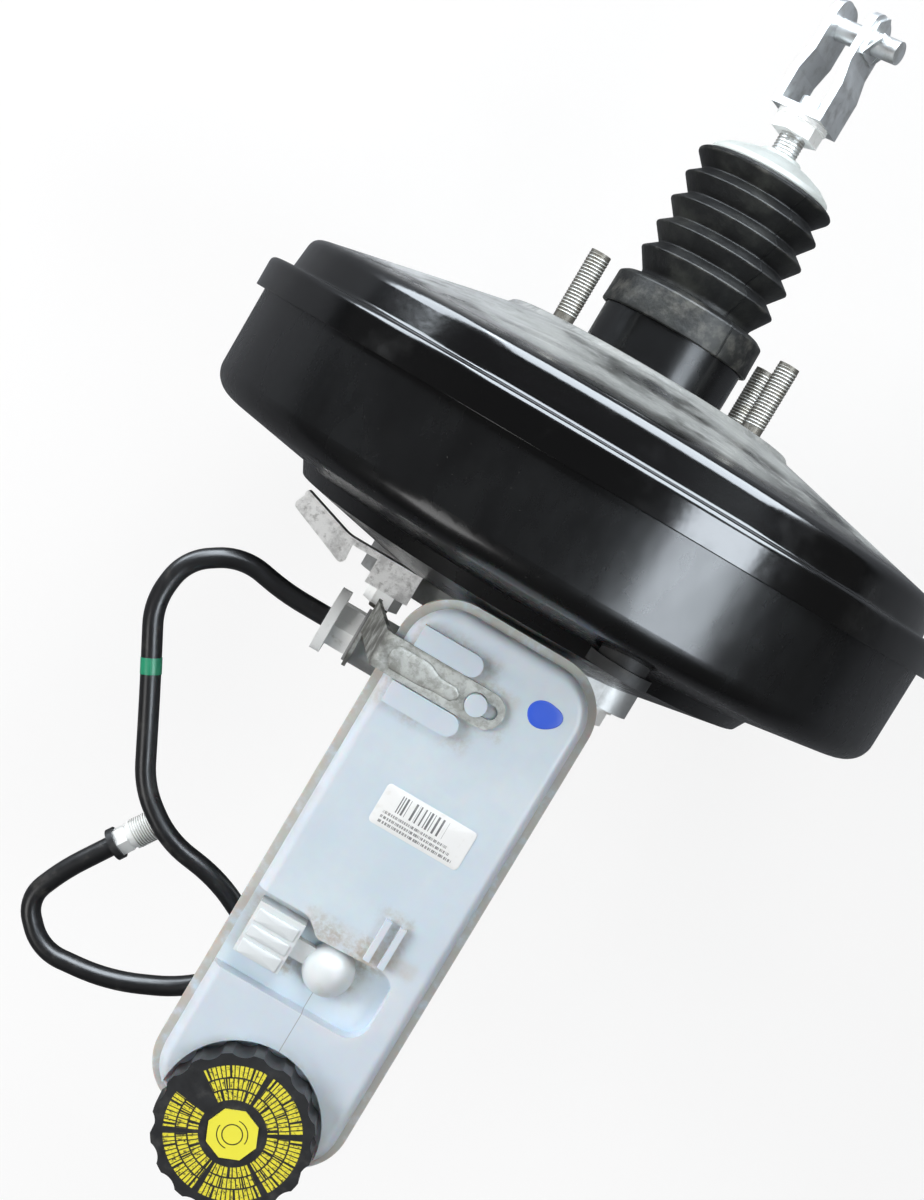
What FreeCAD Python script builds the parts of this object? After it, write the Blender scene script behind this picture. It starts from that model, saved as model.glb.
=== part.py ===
"""Vacuum brake booster with its master cylinder, fluid reservoir, pedal clevis and front brake pipe.

Frame: origin at the centre of the mounting face, where the rear shell meets the bulkhead.
+Y runs back along the booster's axis to the pedal, +Z is up through the filler cap, +X is to the right.
All lengths are millimetres. "Ahead" means towards -Y, the way the pedal pushes.
"""
import FreeCAD, Part
import math
import os
import Sketcher

Vector = FreeCAD.Vector
Rotation = FreeCAD.Rotation

doc = FreeCAD.newDocument("BrakeBooster")
sheet = doc.addObject("Spreadsheet::Sheet", "Sizes")

SIZES = [
    # Shells of the vacuum chamber
    ("shell_wall", 1.5, "sheet thickness of both shells"),
    ("lip_gap", 0.2, "clearance of the front shell's lip in the rim"),
    ("rim_radius", 146.0, "outside of the crimped rim, an eleven inch booster"),
    ("rim_rear", 33.0, "rim's rear corner, ahead of the mounting face"),
    ("rim_front", 45.0, "rim's front edge, ahead of the mounting face"),
    ("rim_rounding", 2.4, "rounding at the rear of the rim"),
    ("hem_width", 1.3, "inward hem that holds the front shell's lip"),
    ("crest_inset", 10.0, "crest between the steep shoulder and the shallow cone, inside the rim"),
    ("crest_drop", 19.8, "crest, ahead of the mounting face"),
    ("crest_rounding", 5.0, "rounding of the crest"),
    ("shoulder_lean", 1.5, "foot of the steep shoulder, outside the crest"),
    ("foot_rounding", 1.5, "rounding where the shoulder meets the rim's flat"),
    ("pad_slope", 2.0, "width of the small step round the pad"),
    ("pad_radius", 60.0, "flat pad that meets the bulkhead"),
    ("pad_drop", 2.6, "small step round the pad"),
    ("gasket_room", 0.4, "pad, ahead of the mounting face, for the gasket"),
    ("wall_inset", 3.5, "front shell's wall inside the rim"),
    ("wall_front", 84.0, "front end of the straight wall, with its rounding"),
    ("wall_rounding", 10.0, "rounding between wall and front face"),
    ("ledge_inset", 47.0, "edge of the raised inner cone, inside the rim"),
    ("ledge_drop", 92.0, "outer cone at that edge, ahead of the mounting face"),
    ("ledge_step", 5.5, "step up to the inner cone"),
    ("boss_radius", 57.0, "flat that carries the master cylinder"),
    ("boss_front", 106.0, "that flat, ahead of the mounting face"),
    ("vacuum_bearing", 73.0, "degrees from the right up to the vacuum port"),
    ("vacuum_hole", 9.0, "hole of the vacuum port"),
    ("vacuum_bore", 5.5, "bore of its grommet"),
    ("vacuum_rim", 2.5, "grommet's rim outside the hole"),
    ("vacuum_lip", 4.0, "thickness of the grommet's rim"),
    ("vacuum_throat", 9.0, "length of the grommet's throat"),
    ("vacuum_stand", 3.2, "grommet's rim, ahead of the sloping shell at the port's middle"),
    # Neck and mounting studs
    ("neck_radius", 29.3, "outside of the neck sleeve"),
    ("neck_wall", 1.5, "wall of the neck sleeve"),
    ("neck_length", 25.0, "sleeve behind the mounting face"),
    ("neck_flange", 6.0, "width of the sleeve's flange inside the shell"),
    ("neck_clear", 2.2, "sleeve's mouth round the sliding tail"),
    ("neck_seal_length", 9.0, "seal in the neck, front to rear"),
    ("stud_radius", 4.0, "M8 mounting stud"),
    ("stud_swell", 0.6, "pressed neck of a stud over its thread, in the shell's hole"),
    ("stud_spread_x", 80.0, "mounting studs across"),
    ("stud_spread_z", 60.0, "mounting studs up and down"),
    ("stud_length", 28.0, "stud standing out of the mounting face"),
    ("stud_head_radius", 7.5, "head welded inside the shell"),
    ("stud_head", 3.0, "thickness of a stud's head"),
    # Master cylinder
    ("flange_thick", 11.0, "master cylinder's flange"),
    ("lug_pitch", 90.0, "distance between the two cylinder studs"),
    ("lug_radius", 14.3, "rounded end of each flange lug"),
    ("flange_waist", 8.0, "flange above and below the barrel"),
    ("cylinder_stud_radius", 4.0, "M8 stud that holds the cylinder"),
    ("stud_past_nut", 4.0, "that stud past its nut"),
    ("cylinder_nut_height", 7.8, "flanged nut on that stud"),
    ("cylinder_nut_flats", 13.0, "across the nut's flats"),
    ("nut_washer_radius", 9.0, "the nut's own washer face"),
    ("nut_washer_thick", 1.6, "thickness of that face"),
    ("barrel_radius", 19.0, "outside of the cylinder barrel"),
    ("bore_radius", 11.9, "bore of the master cylinder"),
    ("barrel_tip", 48.0, "closed end of the barrel, ahead of the second reservoir boss"),
    ("barrel_end_wall", 10.0, "metal ahead of the bore"),
    ("spigot_radius", 22.0, "spigot that reaches into the front shell"),
    ("spigot_length", 17.0, "length of that spigot"),
    ("front_seal_width", 3.6, "rubber ring round the spigot, across its section"),
    ("front_seal_length", 3.5, "that ring, front to rear"),
    ("feed_lead", 25.0, "first reservoir boss, ahead of the flange"),
    ("feed_pitch", 56.0, "second reservoir boss, ahead of the first"),
    ("feed_radius", 14.0, "outside of a reservoir boss"),
    ("feed_top", 32.0, "height of the reservoir bosses"),
    ("feed_bore", 10.0, "bore that takes the rubber grommet"),
    ("feed_depth", 9.0, "depth of the grommet's bore"),
    ("feed_hole", 2.5, "passage from that bore to the cylinder"),
    ("grommet_rim", 2.5, "grommet's rim, in width and in thickness"),
    ("port_height", 10.0, "height of the outlet ports above the axis"),
    ("port_radius", 11.0, "outside of an outlet boss"),
    ("port_reach", 44.5, "left outlet boss's face from the axis"),
    ("port_short", 6.0, "right outlet boss, shorter than the left"),
    ("port_thread", 5.1, "radius of the M10 outlet thread's bore"),
    ("port_depth", 13.0, "depth of the outlet thread"),
    ("port_back", 1.5, "pipe outlet, behind the first reservoir boss"),
    # Reservoir
    ("tank_middle", 2.8, "middle of the reservoir, to the right of the axis"),
    ("tank_width", 75.0, "reservoir across its welded seam"),
    ("tank_overlap", 5.0, "rear edge of the seam, behind the flat that carries the master cylinder"),
    ("tank_length", 205.0, "reservoir along its seam"),
    ("tank_shy", 3.4, "tray's rear wall drawn in further, clear of the shell"),
    ("tank_wall", 2.5, "wall of the reservoir"),
    ("seam_width", 3.2, "seam flange standing out all round"),
    ("seam_thick", 2.0, "each half of the seam flange"),
    ("seam_corner", 20.0, "corner rounding of the seam"),
    ("tray_rise", 14.0, "tray's floor above the reservoir bosses"),
    ("tray_depth", 37.0, "lower half below the seam"),
    ("deck_height", 9.5, "top deck above the seam"),
    ("deck_rounding", 4.0, "rounding along the deck's edge"),
    ("well_length", 31.0, "recessed well in the deck, from rear to front"),
    ("well_gap", 45.0, "front side of that well, behind the filler's axis"),
    ("well_depth", 6.5, "depth of the well"),
    ("well_side", 11.0, "well's right side, inside the deck's edge"),
    ("turret_radius", 25.5, "round turret under the filler"),
    ("turret_foot", 8.0, "turret's floor above the tray's"),
    ("turret_edge", 1.5, "seam standing out round the turret"),
    ("shroud_radius", 29.4, "round dish in the deck that clears the cap"),
    ("shroud_depth", 5.0, "depth of that dish"),
    ("fin_shift", 10.2, "inner fin of the cable clip, right of the reservoir's middle"),
    ("fin_pitch", 5.7, "outer fin, right of the inner"),
    ("fin_thick", 2.4, "thickness of a fin"),
    ("fin_lead", 3.0, "fins' front, ahead of the well's rear side"),
    ("fin_length", 16.0, "fins, front to rear"),
    ("fin_rise", 2.5, "fins above the deck"),
    ("plug_inset", 6.7, "level sensor's plug, inside the left edge of the seam"),
    ("plug_gap", 3.2, "plug, ahead of the well's rear side"),
    ("plug_width", 17.5, "plug, left to right"),
    ("plug_length", 19.5, "plug, front to rear"),
    ("plug_rise", 2.0, "plug above the deck"),
    ("plug_skin", 2.5, "walls in front of and behind the plug's socket"),
    ("plug_end", 6.0, "wall at the right of that socket"),
    ("plug_lid", 1.8, "plug's top, over the socket"),
    ("arm_width", 7.0, "sensor's arm, front to rear"),
    ("arm_height", 4.0, "sensor's arm above the well's floor"),
    ("dome_wall", 1.9, "sensor's dome, round the float's boss"),
    ("dome_rise", 1.2, "middle of the round dome above the well's floor"),
    ("float_shift", 1.5, "level float's axis, right of the reservoir's middle"),
    ("float_back", 14.5, "float's axis, ahead of the well's rear side"),
    ("float_boss", 7.4, "round boss over the float's post"),
    ("boss_rise", 3.5, "that boss above the well's floor"),
    ("float_post", 3.0, "post that the float rides on"),
    ("float_radius", 12.0, "foam float"),
    ("float_height", 11.0, "height of the float"),
    ("filler_inset", 9.0, "filler's axis, behind the front edge of the seam"),
    ("filler_shift", 1.0, "filler's axis, right of the reservoir's middle"),
    ("neck_mouth", 20.0, "bore of the filler neck"),
    ("neck_skin", 2.5, "wall of the filler neck"),
    ("neck_rise", 5.5, "filler neck above the deck"),
    ("spout_radius", 6.2, "outlet spout in its grommet"),
    ("spout_bore", 4.0, "bore of that spout"),
    # Filler cap
    ("cap_radius", 28.2, "outside of the cap"),
    ("cap_height", 12.6, "height of the cap"),
    ("cap_skin", 2.6, "top and skirt of the cap"),
    ("cap_gap", 0.4, "running gap between the cap and what it covers"),
    ("cap_seal_thick", 1.6, "rubber seal inside the cap"),
    ("notch_radius", 6.6, "scallops round the cap"),
    ("notch_out", 5.2, "middle of a scallop, outside the cap"),
    ("crown_radius", 9.3, "raised octagon on the cap, to its corners"),
    ("crown_rise", 0.8, "octagon above the cap"),
    # Strap over the reservoir
    ("strap_width", 13.0, "width of the strap"),
    ("strap_thick", 1.5, "thickness of the strap"),
    ("strap_inset", 28.0, "strap's centre line, ahead of the rear edge of the seam"),
    ("strap_end", 11.0, "rounded end of the strap, right of the axis"),
    ("peg_radius", 3.9, "plastic peg that holds the strap"),
    ("rail_width", 8.0, "each rail beside the strap"),
    ("rail_height", 3.0, "height of the rails"),
    ("rail_inset", 7.0, "rails' left ends, inside the seam"),
    ("rail_short", 4.0, "rear rail's right end, left of the peg's middle"),
    ("rail_extra", 3.0, "front rail, longer than the rear one"),
    ("peg_back", 4.0, "peg, left of the centre of the strap's round end"),
    ("peg_height", 4.5, "peg above the deck"),
    ("bend_out", 1.4, "bend of the strap, left of the seam"),
    ("bend_rounding", 2.0, "inside of that bend"),
    ("foot_rise", 20.0, "strap's foot above the outlet"),
    ("foot_fall", 9.0, "strap's foot below the outlet"),
    ("foot_half", 10.0, "half the width of the foot"),
    # Union and brake pipe
    ("pipe_radius", 4.0, "brake pipe with its plastic sleeve"),
    ("pipe_bore", 2.4, "bore through the nuts at the pipe's ends"),
    ("union_flats", 17.0, "across the union's flats"),
    ("union_length", 10.0, "hex part of the union"),
    ("collar_radius", 13.2, "collar behind the hex"),
    ("collar_thick", 4.0, "thickness of that collar"),
    ("end_thread", 5.9, "M12 thread of the nut at the far end"),
    ("end_nut_length", 16.5, "length of that nut"),
    ("end_groove", 1.5, "groove between its hex and its thread"),
    ("end_collar_radius", 6.6, "black collar behind the nut"),
    ("end_collar_thick", 2.8, "thickness of the black collar"),
    # Harness bracket
    ("bracket_thick", 2.5, "sheet of the harness bracket"),
    ("bracket_top", 28.0, "top edge of the bracket above the axis"),
    ("bracket_half", 9.0, "half the width of its foot"),
    ("bracket_reach", 44.5, "wing's end from the stud"),
    ("bracket_wing", 9.2, "height of the wing"),
    ("bracket_fall", 10.0, "foot below the stud"),
    ("bracket_gap", 1.5, "wing, ahead of the booster's flat"),
    ("wing_bend", 22.0, "bend in the wing, from its end"),
    ("wing_kick", 3.0, "wing's end, behind the booster's flat"),
    ("lip_width", 11.0, "lip along the wing, front to rear"),
    ("lip_root", 19.0, "lip's right end, left of the stud"),
    # Power piston and what it carries
    ("hub_radius", 32.0, "hub of the valve body"),
    ("hub_rear", 10.0, "hub's rear shoulder, ahead of the mounting face"),
    ("hub_front", 36.0, "hub's front shoulder"),
    ("nose_radius", 19.5, "nose inside the return spring"),
    ("nose_front", 47.0, "front of the nose"),
    ("tail_radius", 19.0, "tail that slides in the neck"),
    ("tail_bore", 16.0, "bore of the tail"),
    ("tail_rear", 62.0, "rear end of the tail, behind the mounting face"),
    ("seat_drop", 12.0, "valve chamber's floor ahead of the hub's rear shoulder"),
    ("seat_inner", 11.5, "inside of the body's valve lip"),
    ("key_back", 4.5, "key's front face behind the hub's front shoulder"),
    ("key_thick", 2.0, "thickness of the stop key"),
    ("key_half", 7.8, "half the width of the key"),
    ("key_left", 4.0, "key, past the axis to the left"),
    ("filter_length", 12.5, "length of the air filter"),
    ("filter_bore", 9.6, "hole in the filter for the swinging rod"),
    ("disc_radius", 12.5, "reaction disc"),
    ("disc_thick", 4.0, "thickness of the reaction disc"),
    ("plate_inset", 15.0, "diaphragm plate's edge, inside the crest"),
    ("plate_thick", 1.2, "thickness of the diaphragm plate"),
    ("plate_drop", 26.0, "plate's outer edge, ahead of the mounting face"),
    ("rubber_thick", 2.0, "thickness of the diaphragm"),
    ("plunger_radius", 5.0, "plunger's stem"),
    ("plunger_head", 8.8, "plunger's valve disc"),
    ("plunger_socket", 6.9, "outside of the plunger's socket"),
    ("poppet_bore", 7.3, "hole in the poppet valve"),
    ("poppet_thick", 2.5, "thickness of the poppet valve"),
    ("retainer_thick", 1.2, "thickness of the poppet's retainer"),
    ("ball_radius", 4.9, "ball on the input rod"),
    ("ball_ahead", 13.0, "ball's centre, ahead of the mounting face"),
    ("push_radius", 5.4, "output rod"),
    ("socket_depth", 13.0, "output rod's socket in the primary piston"),
    ("valve_travel", 1.5, "play of the plunger in the valve body"),
    # Master cylinder pistons
    ("primary_rear", 92.0, "primary piston's rear end, ahead of the mounting face"),
    ("primary_length", 46.0, "length of the primary piston"),
    ("secondary_length", 36.0, "length of the secondary piston"),
    ("primary_spring_length", 31.0, "gap between the pistons"),
    ("cup_width", 4.0, "width of a cup's groove"),
    ("cup_groove", 3.0, "depth of a cup's groove"),
    # Input rod, boot and clevis
    ("rod_radius", 5.0, "input rod"),
    ("rod_end", 120.0, "rear end of the input rod"),
    ("nut_rear", 112.0, "lock nut's rear face, where the clevis sits"),
    ("lock_nut_height", 7.0, "height of the lock nut"),
    ("lock_nut_flats", 17.0, "across the lock nut's flats"),
    ("lock_nut_face", 10.4, "the nut's own washer face"),
    ("lock_nut_face_thick", 1.5, "thickness of that face"),
    ("boot_ring_radius", 30.8, "boot's ring on the neck"),
    ("boot_ring_rear", 31.0, "rear of the boot's ring"),
    ("boot_ring_front", 17.5, "front of the boot's ring"),
    ("boot_tip_radius", 28.8, "outside of the boot's folds"),
    ("boot_valley_radius", 23.6, "bottom of the boot's folds"),
    ("boot_pitch", 10.6, "length of one fold"),
    ("boot_lead", 4.5, "root of the first fold, behind the ring"),
    ("boot_lean", 0.62, "share of a fold's length before its tip"),
    ("boot_flare", 0.5, "ring's front, wider than its rear"),
    ("end_disc_radius", 21.5, "pale disc in the boot's rear end"),
    ("end_disc_thick", 3.0, "thickness of that disc"),
    ("clevis_roll", 30.0, "degrees that the clevis is turned about the rod"),
    ("clevis_width", 22.0, "outside of the clevis at its base"),
    ("clevis_narrow", 18.0, "outside of the clevis at the pin"),
    ("clevis_sheet", 3.0, "thickness of the clevis"),
    ("clevis_depth", 20.0, "width of the clevis's sheet"),
    ("clevis_reach", 46.5, "clevis from its base to its ends"),
    ("pin_back", 36.5, "pin behind the clevis's base"),
    ("pin_radius", 4.4, "clevis pin"),
    ("pin_length", 31.0, "length of the clevis pin"),
    ("pin_head", 2.0, "pin outside the left arm"),
    # Coil springs
    ("return_coil", 29.6, "mean radius of the return spring"),
    ("return_wire", 3.4, "wire of the return spring"),
    ("piston_coil", 8.0, "mean radius of the two piston springs"),
    ("piston_wire", 2.0, "wire of the piston springs"),
    ("poppet_coil", 11.5, "mean radius of the poppet's spring"),
    ("poppet_wire", 1.2, "wire of the poppet's spring"),
    ("rod_coil", 11.0, "mean radius of the rod's spring"),
    ("rod_wire", 1.4, "wire of the rod's spring"),
    ("rod_collar_back", 13.0, "rod's spring collar, behind the mounting face"),
    ("spring_gap", 0.1, "clearance at each end of a spring"),
    ("running_gap", 0.05, "radial clearance of a running fit"),
    ("seat_gap", 0.3, "clearance beside a seat"),
    ("hole_gap", 0.25, "radial clearance of a bolt hole"),
]

for row, (name, number, meaning) in enumerate(SIZES, 1):
    sheet.set(f"A{row}", name)
    sheet.set(f"B{row}", str(number))
    sheet.setAlias(f"B{row}", name)
    sheet.set(f"C{row}", meaning)
doc.recompute()


class Size:
    """A length that knows its number and the expression that ties it to the sheet."""

    def __init__(self, number, text):
        self.number = float(number)
        self.text = text

    def __add__(self, other):
        other = sized(other)
        return Size(self.number + other.number, f"({self.text} + {other.text})")

    def __sub__(self, other):
        other = sized(other)
        return Size(self.number - other.number, f"({self.text} - {other.text})")

    def __mul__(self, factor):
        factor = sized(factor)
        return Size(self.number * factor.number, f"({self.text} * {factor.text})")

    def __truediv__(self, divisor):
        divisor = sized(divisor)
        return Size(self.number / divisor.number, f"({self.text} / {divisor.text})")

    def __neg__(self):
        return Size(-self.number, f"(0 - {self.text})")

    def __radd__(self, other):
        return sized(other) + self

    def __rsub__(self, other):
        return sized(other) - self

    def __rmul__(self, other):
        return self * other

    def __float__(self):
        return self.number


def sized(value):
    """The value as a Size, so that plain numbers and sheet sizes mix."""
    if isinstance(value, Size):
        return value
    return Size(value, repr(float(value)))


class Sizes:
    """Every alias of the sheet as an attribute."""


d = Sizes()
for name, number, meaning in SIZES:
    setattr(d, name, Size(sheet.get(name), f"Sizes.{name}"))

AIMS = {
    "+X": Rotation(Vector(0, 1, 0), 90),
    "-X": Rotation(Vector(0, 1, 0), -90),
    "+Y": Rotation(Vector(1, 0, 0), -90),
    "-Y": Rotation(Vector(1, 0, 0), 90),
    "+Z": Rotation(),
    "-Z": Rotation(Vector(1, 0, 0), 180),
}
pieces = []


def new_body(label):
    """A body of its own for one sub-part."""
    body = doc.addObject("PartDesign::Body", label)
    body.Label = label
    pieces.append(body)
    return body


def origin_part(body, role):
    """One of the body's own planes or axes."""
    return [part for part in body.Origin.OriginFeatures if part.Role == role][0]


def tie(feature, path, size):
    """Set a property to a size through an expression."""
    feature.setExpression(path, sized(size).text)


def place(feature, aim, spot):
    """Aim a primitive along an axis and tie its start to the sheet."""
    feature.Placement = FreeCAD.Placement(Vector(*[float(sized(value)) for value in spot]), AIMS[aim])
    for letter, value in zip("xyz", spot):
        tie(feature, f"Placement.Base.{letter}", value)


def cylinder(body, name, adds, aim, spot, radius, length):
    """A cylinder that starts at the spot and runs along the aim."""
    kind = "PartDesign::AdditiveCylinder" if adds else "PartDesign::SubtractiveCylinder"
    feature = body.newObject(kind, name)
    place(feature, aim, spot)
    tie(feature, "Radius", radius)
    tie(feature, "Height", length)
    return feature


def hexagon(body, name, adds, aim, spot, flats, length):
    """A hexagonal prism by its width across flats."""
    kind = "PartDesign::AdditivePrism" if adds else "PartDesign::SubtractivePrism"
    feature = body.newObject(kind, name)
    feature.Polygon = 6
    place(feature, aim, spot)
    tie(feature, "Circumradius", flats / math.sqrt(3.0))
    tie(feature, "Height", length)
    return feature


def block(body, name, adds, low, high):
    """A box between its low and high corners."""
    kind = "PartDesign::AdditiveBox" if adds else "PartDesign::SubtractiveBox"
    feature = body.newObject(kind, name)
    place(feature, "+Z", low)
    for side, start, end in zip(("Length", "Width", "Height"), low, high):
        tie(feature, side, sized(end) - start)
    return feature


def rounding(before, corner, after, radius):
    """Start and end of the arc that rounds a corner, the arc, and whether it runs from start to end."""
    into = (before - corner).normalize()
    out = (after - corner).normalize()
    half = into.getAngle(out) / 2
    start = corner + into * (radius / math.tan(half))
    end = corner + out * (radius / math.tan(half))
    centre = corner + (into + out).normalize() * (radius / math.sin(half))
    forwards = (start - centre).cross(end - centre).z > 0
    first, last = (start, end) if forwards else (end, start)
    angles = [math.atan2(spot.y - centre.y, spot.x - centre.x) for spot in (first, last)]
    if angles[1] < angles[0]:
        angles[1] += 2 * math.pi
    arc = Part.ArcOfCircle(Part.Circle(centre, Vector(0, 0, 1), radius), *angles)
    return start, end, arc, forwards


def outline(body, name, plane, corners):
    """Closed sketch whose corners are each tied to the sheet; a third value rounds that corner."""
    sketch = body.newObject("Sketcher::SketchObject", name)
    sketch.AttachmentSupport = [(origin_part(body, plane), "")]
    sketch.MapMode = "FlatFace"
    count = len(corners)
    spots = [Vector(float(sized(corner[0])), float(sized(corner[1])), 0) for corner in corners]
    starts = list(spots)
    ends = list(spots)
    bends = {}
    for i, corner in enumerate(corners):
        if len(corner) == 3:
            bends[i] = rounding(spots[i - 1], spots[i], spots[(i + 1) % count], float(sized(corner[2])))
            ends[i], starts[i] = bends[i][:2]
    sketch.addGeometry([Part.LineSegment(starts[i], ends[(i + 1) % count]) for i in range(count)])
    rules = []
    sizes = []
    for i, spot in enumerate(spots):
        corner = corners[i]
        if i in bends:
            arc = sketch.addGeometry(bends[i][2])
            point = sketch.addGeometry(Part.Point(spot), True)
            near_end = 1 if bends[i][3] else 2
            rules.append(Sketcher.Constraint("Tangent", (i - 1) % count, 2, arc, near_end))
            rules.append(Sketcher.Constraint("Tangent", i, 1, arc, 3 - near_end))
            rules.append(Sketcher.Constraint("PointOnObject", point, 1, (i - 1) % count))
            rules.append(Sketcher.Constraint("PointOnObject", point, 1, i))
            sizes.append((len(rules), corner[2]))
            rules.append(Sketcher.Constraint("Radius", arc, float(sized(corner[2]))))
        else:
            point = i
            rules.append(Sketcher.Constraint("Coincident", (i - 1) % count, 2, i, 1))
        for kind, value in (("DistanceX", corner[0]), ("DistanceY", corner[1])):
            sizes.append((len(rules), value))
            rules.append(Sketcher.Constraint(kind, -1, 1, point, 1, float(sized(value))))
    sketch.addConstraint(rules)
    for index, value in sizes:
        tie(sketch, f"Constraints[{index}]", value)
    return sketch


def turn(body, name, corners, adds=True):
    """Revolve an outline of (radius, y) corners about the booster's axis."""
    sketch = outline(body, name + "_profile", "XY_Plane", corners)
    kind = "PartDesign::Revolution" if adds else "PartDesign::Groove"
    feature = body.newObject(kind, name)
    feature.Profile = sketch
    feature.ReferenceAxis = (sketch, ["V_Axis"])
    feature.Angle = 360
    sketch.Visibility = False
    return feature


def turned(label, corners):
    """A sub-part that is one revolved outline."""
    body = new_body(label)
    turn(body, "turned", corners)
    return body


def extrude(body, name, plane, corners, start, length, adds=True):
    """Pad or pocket an outline from its start coordinate towards the positive axis of its plane."""
    sketch = outline(body, name + "_profile", plane, corners)
    backwards = plane == "XZ_Plane"
    tie(sketch, "AttachmentOffset.Base.z", -sized(start) if backwards else start)
    feature = body.newObject("PartDesign::Pad" if adds else "PartDesign::Pocket", name)
    feature.Profile = sketch
    feature.Reversed = backwards if adds else not backwards
    tie(feature, "Length", length)
    sketch.Visibility = False
    return feature


def soften(body, name, test, radius):
    """Fillet the straight edges that pass a test."""
    doc.recompute()
    base = body.Tip
    found = []
    for i, edge in enumerate(base.Shape.Edges, 1):
        if isinstance(edge.Curve, Part.Line) and test(edge):
            found.append(f"Edge{i}")
    feature = body.newObject("PartDesign::Fillet", name)
    feature.Base = (base, found)
    tie(feature, "Radius", radius)
    return feature


def repeat_left(body, name, feature, distance):
    """Repeat a feature once, at a distance to the left."""
    doc.recompute()
    pattern = body.newObject("PartDesign::LinearPattern", name)
    pattern.Originals = [feature]
    pattern.Direction = (origin_part(body, "X_Axis"), [""])
    pattern.Occurrences = 2
    pattern.Reversed = True
    tie(pattern, "Length", distance)
    body.Tip = pattern
    return pattern


def plain_feature(label, shape):
    """A sub-part whose shape is worked out here from the sheet's numbers."""
    feature = doc.addObject("Part::Feature", label)
    feature.Label = label
    feature.Shape = shape
    feature.Placement = FreeCAD.Placement()
    pieces.append(feature)
    return feature


# Levels along the axis that several pieces share
skirt_inside = d.rim_radius - d.shell_wall
lip_radius = skirt_inside - d.lip_gap
wall_radius = d.rim_radius - d.wall_inset
crest_radius = d.rim_radius - d.crest_inset
ledge_radius = d.rim_radius - d.ledge_inset
plate_radius = crest_radius - d.plate_inset
lip_rear = -(d.rim_front - d.shell_wall * 2)
pad_rear = -d.gasket_room
pad_front = pad_rear - d.shell_wall
hem_front = -d.rim_front
ledge_foot = ledge_radius - 3.0
boss_face = -d.boss_front
boss_inside = boss_face + d.shell_wall
flange_front = boss_face - d.flange_thick
feed_first = d.feed_lead - flange_front
feed_second = feed_first + d.feed_pitch
barrel_front = feed_second + d.barrel_tip
port_ahead = feed_first - d.port_back
neck_bore = d.neck_radius - d.neck_wall
seal_hole = d.spigot_radius + d.front_seal_width
tank_left = d.tank_middle - d.tank_width / 2
tank_right = d.tank_middle + d.tank_width / 2
tank_rear = d.boss_front - d.tank_overlap
tank_front = tank_rear + d.tank_length
filler_ahead = tank_front - d.filler_inset
well_front = filler_ahead - d.well_gap
well_rear = well_front - d.well_length
strap_ahead = tank_rear + d.strap_inset
tray_floor = d.feed_top + d.tray_rise
seam_height = tray_floor + d.tray_depth
seam_middle = seam_height + d.seam_thick
deck_top = seam_middle + d.deck_height
well_floor = deck_top - d.well_depth
peg_x = d.strap_end - d.strap_width / 2 - d.peg_back
float_x = d.tank_middle + d.float_shift
float_y = -(well_rear + d.float_back)
filler_x = d.tank_middle + d.filler_shift
filler_y = -filler_ahead
mouth_top = deck_top + d.neck_rise
pin_y = d.nut_rear + d.pin_back
bracket_front = flange_front - d.bracket_thick
seat_y = -(d.hub_rear + d.seat_drop)
valve_y = seat_y + 4.5
key_front = -(d.hub_front - d.key_back)
boot_start = d.boot_ring_rear + d.boot_lead
boot_rear = boot_start + d.boot_pitch * 5


def trig(function, size):
    """Sine or cosine of an angle in degrees, tied to the sheet."""
    number = getattr(math, function)(math.radians(float(size)))
    return Size(number, f"{function}({size.text} * 1 deg)")


vacuum_circle = (wall_radius - d.wall_rounding + ledge_radius) / 2
vacuum_x = vacuum_circle * trig("cos", d.vacuum_bearing)
vacuum_z = vacuum_circle * trig("sin", d.vacuum_bearing)
vacuum_y = -(d.ledge_drop + d.wall_front) / 2


def front_shell():
    """Deep drawn cup with a lip that the rear shell's rim grips."""
    wall_inner = wall_radius - d.shell_wall
    corner_y = -d.wall_front
    ledge_top = -(d.ledge_drop + d.ledge_step)
    step_in = d.shell_wall * 2 / 3
    body = turned("front_shell", [
        (lip_radius, lip_rear),
        (lip_radius, lip_rear - d.shell_wall),
        (wall_radius, lip_rear - d.shell_wall),
        (wall_radius, corner_y, d.wall_rounding),
        (ledge_radius, -d.ledge_drop),
        (ledge_foot, ledge_top),
        (d.boss_radius, boss_face),
        (seal_hole, boss_face),
        (seal_hole, boss_inside),
        (d.boss_radius, boss_inside),
        (ledge_foot - step_in, ledge_top + d.shell_wall),
        (ledge_radius - step_in, -d.ledge_drop + d.shell_wall),
        (wall_inner, corner_y + d.shell_wall, d.wall_rounding - d.shell_wall),
        (wall_inner, lip_rear),
    ])
    hole = cylinder(body, "stud_hole", False, "+Y", (d.lug_pitch / 2, boss_face - 1, 0),
                    d.cylinder_stud_radius + d.hole_gap, d.shell_wall + 2)
    repeat_left(body, "stud_holes", hole, d.lug_pitch)
    cylinder(body, "vacuum_opening", False, "-Y", (vacuum_x, vacuum_y + 12, vacuum_z), d.vacuum_hole, 24)


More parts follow.
